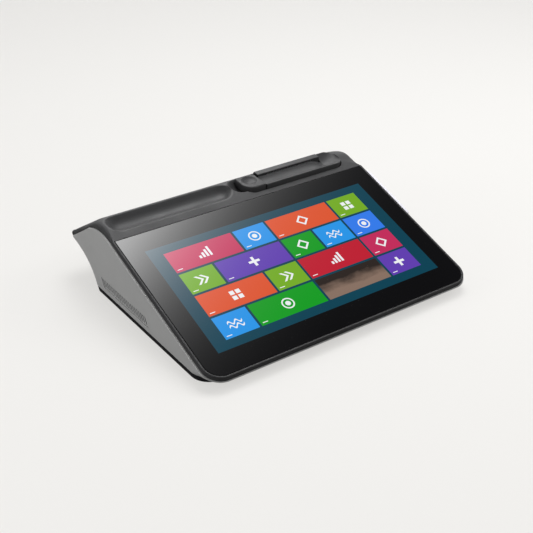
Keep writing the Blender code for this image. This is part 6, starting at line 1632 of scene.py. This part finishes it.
def bore(name, centre, radius, low, high, steps=POST_STEPS):
    """A round cutter along X."""
    return plate(name, circle(centre, radius, steps), low, high, plane=side_on)


door = plate("paper_door", door_outline(), DOOR_LEFT_X, DOOR_RIGHT_X, DOOR_EDGE, side_on,
             finishes["charcoal"])
half_paper = PAPER_WIDTH / 2 + GAP
hangers = [plate("hanger", hanger_outline(), x, x + HANGER, HANGER_EDGE, side_on)
           for x in (PAPER_X - half_paper - HANGER, PAPER_X + half_paper)]
unite(door, *hangers)
bore_x = (DOOR_LEFT_X - CUTTER_REACH, DOOR_RIGHT_X + CUTTER_REACH)
cut(door, bore("pin_bore", HINGE, PIN_RADIUS + GAP, *bore_x),
    bore("shaft_bore", PLATEN, SHAFT_RADIUS + GAP, *bore_x),
    bore("gear_way", PLATEN, GEAR_TIP + GAP * 2, *GEAR_X, ROUND_STEPS))
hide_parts("printer_door")
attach(door, "door")
print("door:", len(door.data.polygons), "faces")

# %% [markdown]
# Two ears of the cover hold the hinge pin at the door's sides. They could be joined to the deck's sheet.
# Each is a plate with a round end instead, whose straight top sinks into the cover's skin, as ribs and
# bosses do on the real moulding, and the thin sheet stays a clean mesh.

# %% Hinge ears
EAR_THICKNESS, EAR_START_SHARE, EAR_EDGE = 0.0030, 0.5, 0.0003


def ear_outline():
    """A ring round the hinge that opens into the rear slope's skin, in Y and Z."""
    ring = arc(HINGE, KNUCKLE_RADIUS, math.pi - REAR_TILT * EAR_START_SHARE, 2 * math.pi, POST_STEPS)
    ends = [rear_line(HINGE[0] + side * KNUCKLE_RADIUS, DECK_WALL / 2) for side in (-1, 1)]
    return np.concatenate((ends[:1], ring, ends[1:]))


for side, x in (("left", DOOR_LEFT_X - PART_LINE - EAR_THICKNESS), ("right", DOOR_RIGHT_X + PART_LINE)):
    ear = plate("hinge_ear_" + side, ear_outline(), x, x + EAR_THICKNESS, EAR_EDGE, side_on,
                finishes["charcoal"])
    cut(ear, bore("ear_bore", HINGE, PIN_RADIUS + GAP, x - GAP, x + EAR_THICKNESS + GAP))
    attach(ear, "case")
print("two ears beside the door")

# %% [markdown]
# Looked at from behind, a socket is more than a hole. A data socket has a flat tongue in its middle, and
# the others have a comb of springy contacts under the roof. A dark picture in the hole would do from
# afar. Real tongues and contacts hold up from near, and they are only small plates in a row.

# %% Contact combs in the plain sockets
SOCKET_REAR_Y, SOCKET_HOLLOW, SOCKET_RIM = 0.1236, 0.0120, 0.0013
SOCKET_FRONT_Y, SOCKET_LOW = SOCKET_REAR_Y - SOCKET_HOLLOW, BOARD_HEIGHT + BOARD_THICKNESS + GAP
PLAIN_SOCKETS = {"network": (0.026, 0.0160, 0.0135, 8), "serial": (0.049, 0.0160, 0.0135, 10),
                 "drawer": (0.071, 0.0135, 0.0120, 6)}
COMB_DEPTH, COMB_HEIGHT, CONTACT_HALF_WIDTH, BROKEN_EDGE = 0.0055, 0.0026, 0.0002, 0.0002
CONTACT_SHAPE = np.array(((0.0050, -0.0024), (0.0085, -0.0009), (0.0085, -0.0006), (0.0050, -0.0020)))


def box(name, x, y, z, finish):
    """A block between two values along each axis, with broken edges."""
    plan = rounded(*x, *y, BROKEN_EDGE, BROKEN_EDGE, BROKEN_EDGE, BROKEN_EDGE)
    return plate(name, plan, *z, BROKEN_EDGE, finish=finish)


def contact_comb(name, offset, width, height, count):
    """A block under the roof, and thin contacts that slope down from it, side by side."""
    left, roof = RECESS_X[0] + offset, SOCKET_LOW + height - SOCKET_RIM
    block = box(name + "_contact_block", (left + SOCKET_RIM, left + width - SOCKET_RIM),
                (SOCKET_FRONT_Y, SOCKET_FRONT_Y + COMB_DEPTH), (roof - COMB_HEIGHT, roof), finishes["chip"])
    pitch = (width - SOCKET_RIM * 4) / count
    middles = left + width / 2 + (np.arange(count) - (count - 1) / 2) * pitch
    slope = CONTACT_SHAPE + (SOCKET_FRONT_Y, roof)
    pins = [plate(name + "_pin", slope, x - CONTACT_HALF_WIDTH, x + CONTACT_HALF_WIDTH, plane=side_on)
            for x in middles]
    contacts = unite(*pins)
    contacts.name = name + "_contacts"
    contacts.data.materials.clear()
    contacts.data.materials.append(finishes["brass"])
    return block, contacts


for name, (offset, width, height, count) in PLAIN_SOCKETS.items():
    for thing, slot in zip(contact_comb(name, offset, width, height, count), ("chip", "brass")):
        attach(thing, "case")
print("combs:", list(PLAIN_SOCKETS))

# %% [markdown]
# A double data socket has two openings, one over the other, each with its own tongue of pale nylon.

# %% Tongues in the data sockets
DATA_SOCKETS = {"left": 0.0900, "right": 0.1120}
DATA_WIDTH, DATA_HEIGHT, TONGUE, TONGUE_MARGIN = 0.0148, 0.0150, 0.0018, 0.0013
DATA_LEVELS = 2
opening_height = (DATA_HEIGHT - SOCKET_RIM * (DATA_LEVELS + 1)) / DATA_LEVELS
for side, offset in DATA_SOCKETS.items():
    left = RECESS_X[0] + offset
    for level in range(DATA_LEVELS):
        middle = SOCKET_LOW + SOCKET_RIM + level * (opening_height + SOCKET_RIM) + opening_height / 2
        tongue = box("data_tongue_%s_%d" % (side, level),
                     (left + SOCKET_RIM + TONGUE_MARGIN, left + DATA_WIDTH - SOCKET_RIM - TONGUE_MARGIN),
                     (SOCKET_FRONT_Y, SOCKET_REAR_Y - TONGUE_MARGIN),
                     (middle - TONGUE / 2, middle + TONGUE / 2), finishes["nylon"])
        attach(tongue, "case")
print("tongues:", DATA_LEVELS * len(DATA_SOCKETS))

# %% [markdown]
# The card reader is a grey plastic block on the right side. Its colour is painted pale and bluish, a painted
# highlight that stands in for the light along its edge. Its slot runs its whole length near the outer face,
# and the stripe on a card meets the magnetic head inside. The slot could be a gap between two blocks. One
# block with a cut keeps its rounded rim whole, and the slot's mouth can flare for the card.

# %% Card reader
READER_TOP, READER_HEIGHT, READER_FRONT_V, READER_LENGTH = 0.0148, 0.0252, 0.0195, 0.0755
READER_CORNER, READER_SMALL_CORNER, READER_EDGE, READER_LONGEST = 0.0030, 0.0004, 0.0012, 0.01
CARD_SLOT, CARD_SLOT_DEPTH, CARD_WALL, CARD_FLARE = 0.0014, 0.0197, 0.0034, 0.0009
SLOT_FOOT_ROUND, FLARE_ROUND = 0.0002, 0.002
HEAD_DEPTH, HEAD_HALF_LENGTH, HEAD_HEIGHT = 0.005, 0.0065, 0.009
slot_right = HALF_WIDTH + READER_DEPTH - CARD_WALL
slot_left, slot_low = slot_right - CARD_SLOT, -READER_TOP - CARD_SLOT_DEPTH


def card_slot():
    """A cutter along the deck: a narrow section with a flared mouth, longer than the reader."""
    flare_low = -READER_TOP - CARD_FLARE * 2
    section = corners_rounded((
        (slot_left, slot_low, SLOT_FOOT_ROUND), (slot_right, slot_low, SLOT_FOOT_ROUND),
        (slot_right, flare_low, FLARE_ROUND), (slot_right + CARD_FLARE, 0.0, 0),
        (slot_left - CARD_FLARE, 0.0, 0), (slot_left, flare_low, FLARE_ROUND)))
    ends = (READER_FRONT_V - CUTTER_REACH, READER_FRONT_V + READER_LENGTH + CUTTER_REACH)
    return tube("slot", [on_deck(section[:, 0], v, section[:, 1]) for v in ends])


def head_pocket():
    """Room for the magnetic head beside the slot, with a gap all round."""
    head_v, half = READER_FRONT_V + READER_LENGTH / 2, HEAD_HALF_LENGTH
    plan = rounded(slot_left - HEAD_DEPTH - GAP, slot_left + CARD_SLOT / 2, head_v - half - GAP,
                   head_v + half + GAP, 0, 0, 0, 0)
    return plate("head_pocket", plan, slot_low, slot_low + HEAD_HEIGHT + GAP * 2, plane=on_deck)


reader_plan = rounded(HALF_WIDTH + GAP, HALF_WIDTH + READER_DEPTH, READER_FRONT_V,
                      READER_FRONT_V + READER_LENGTH, READER_SMALL_CORNER, READER_CORNER, READER_CORNER,
                      READER_SMALL_CORNER)
# Its pale, bluish finish is grey plastic with a painted highlight in it.
reader = plate("reader_body", spread(reader_plan, READER_LONGEST), -READER_TOP - READER_HEIGHT, -READER_TOP,
               READER_EDGE, on_deck, finishes["silver"])
cut(reader, card_slot(), head_pocket())
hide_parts("card_reader_housing")
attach(reader, "case")
print("reader:", len(reader.data.polygons), "faces")

# %% [markdown]
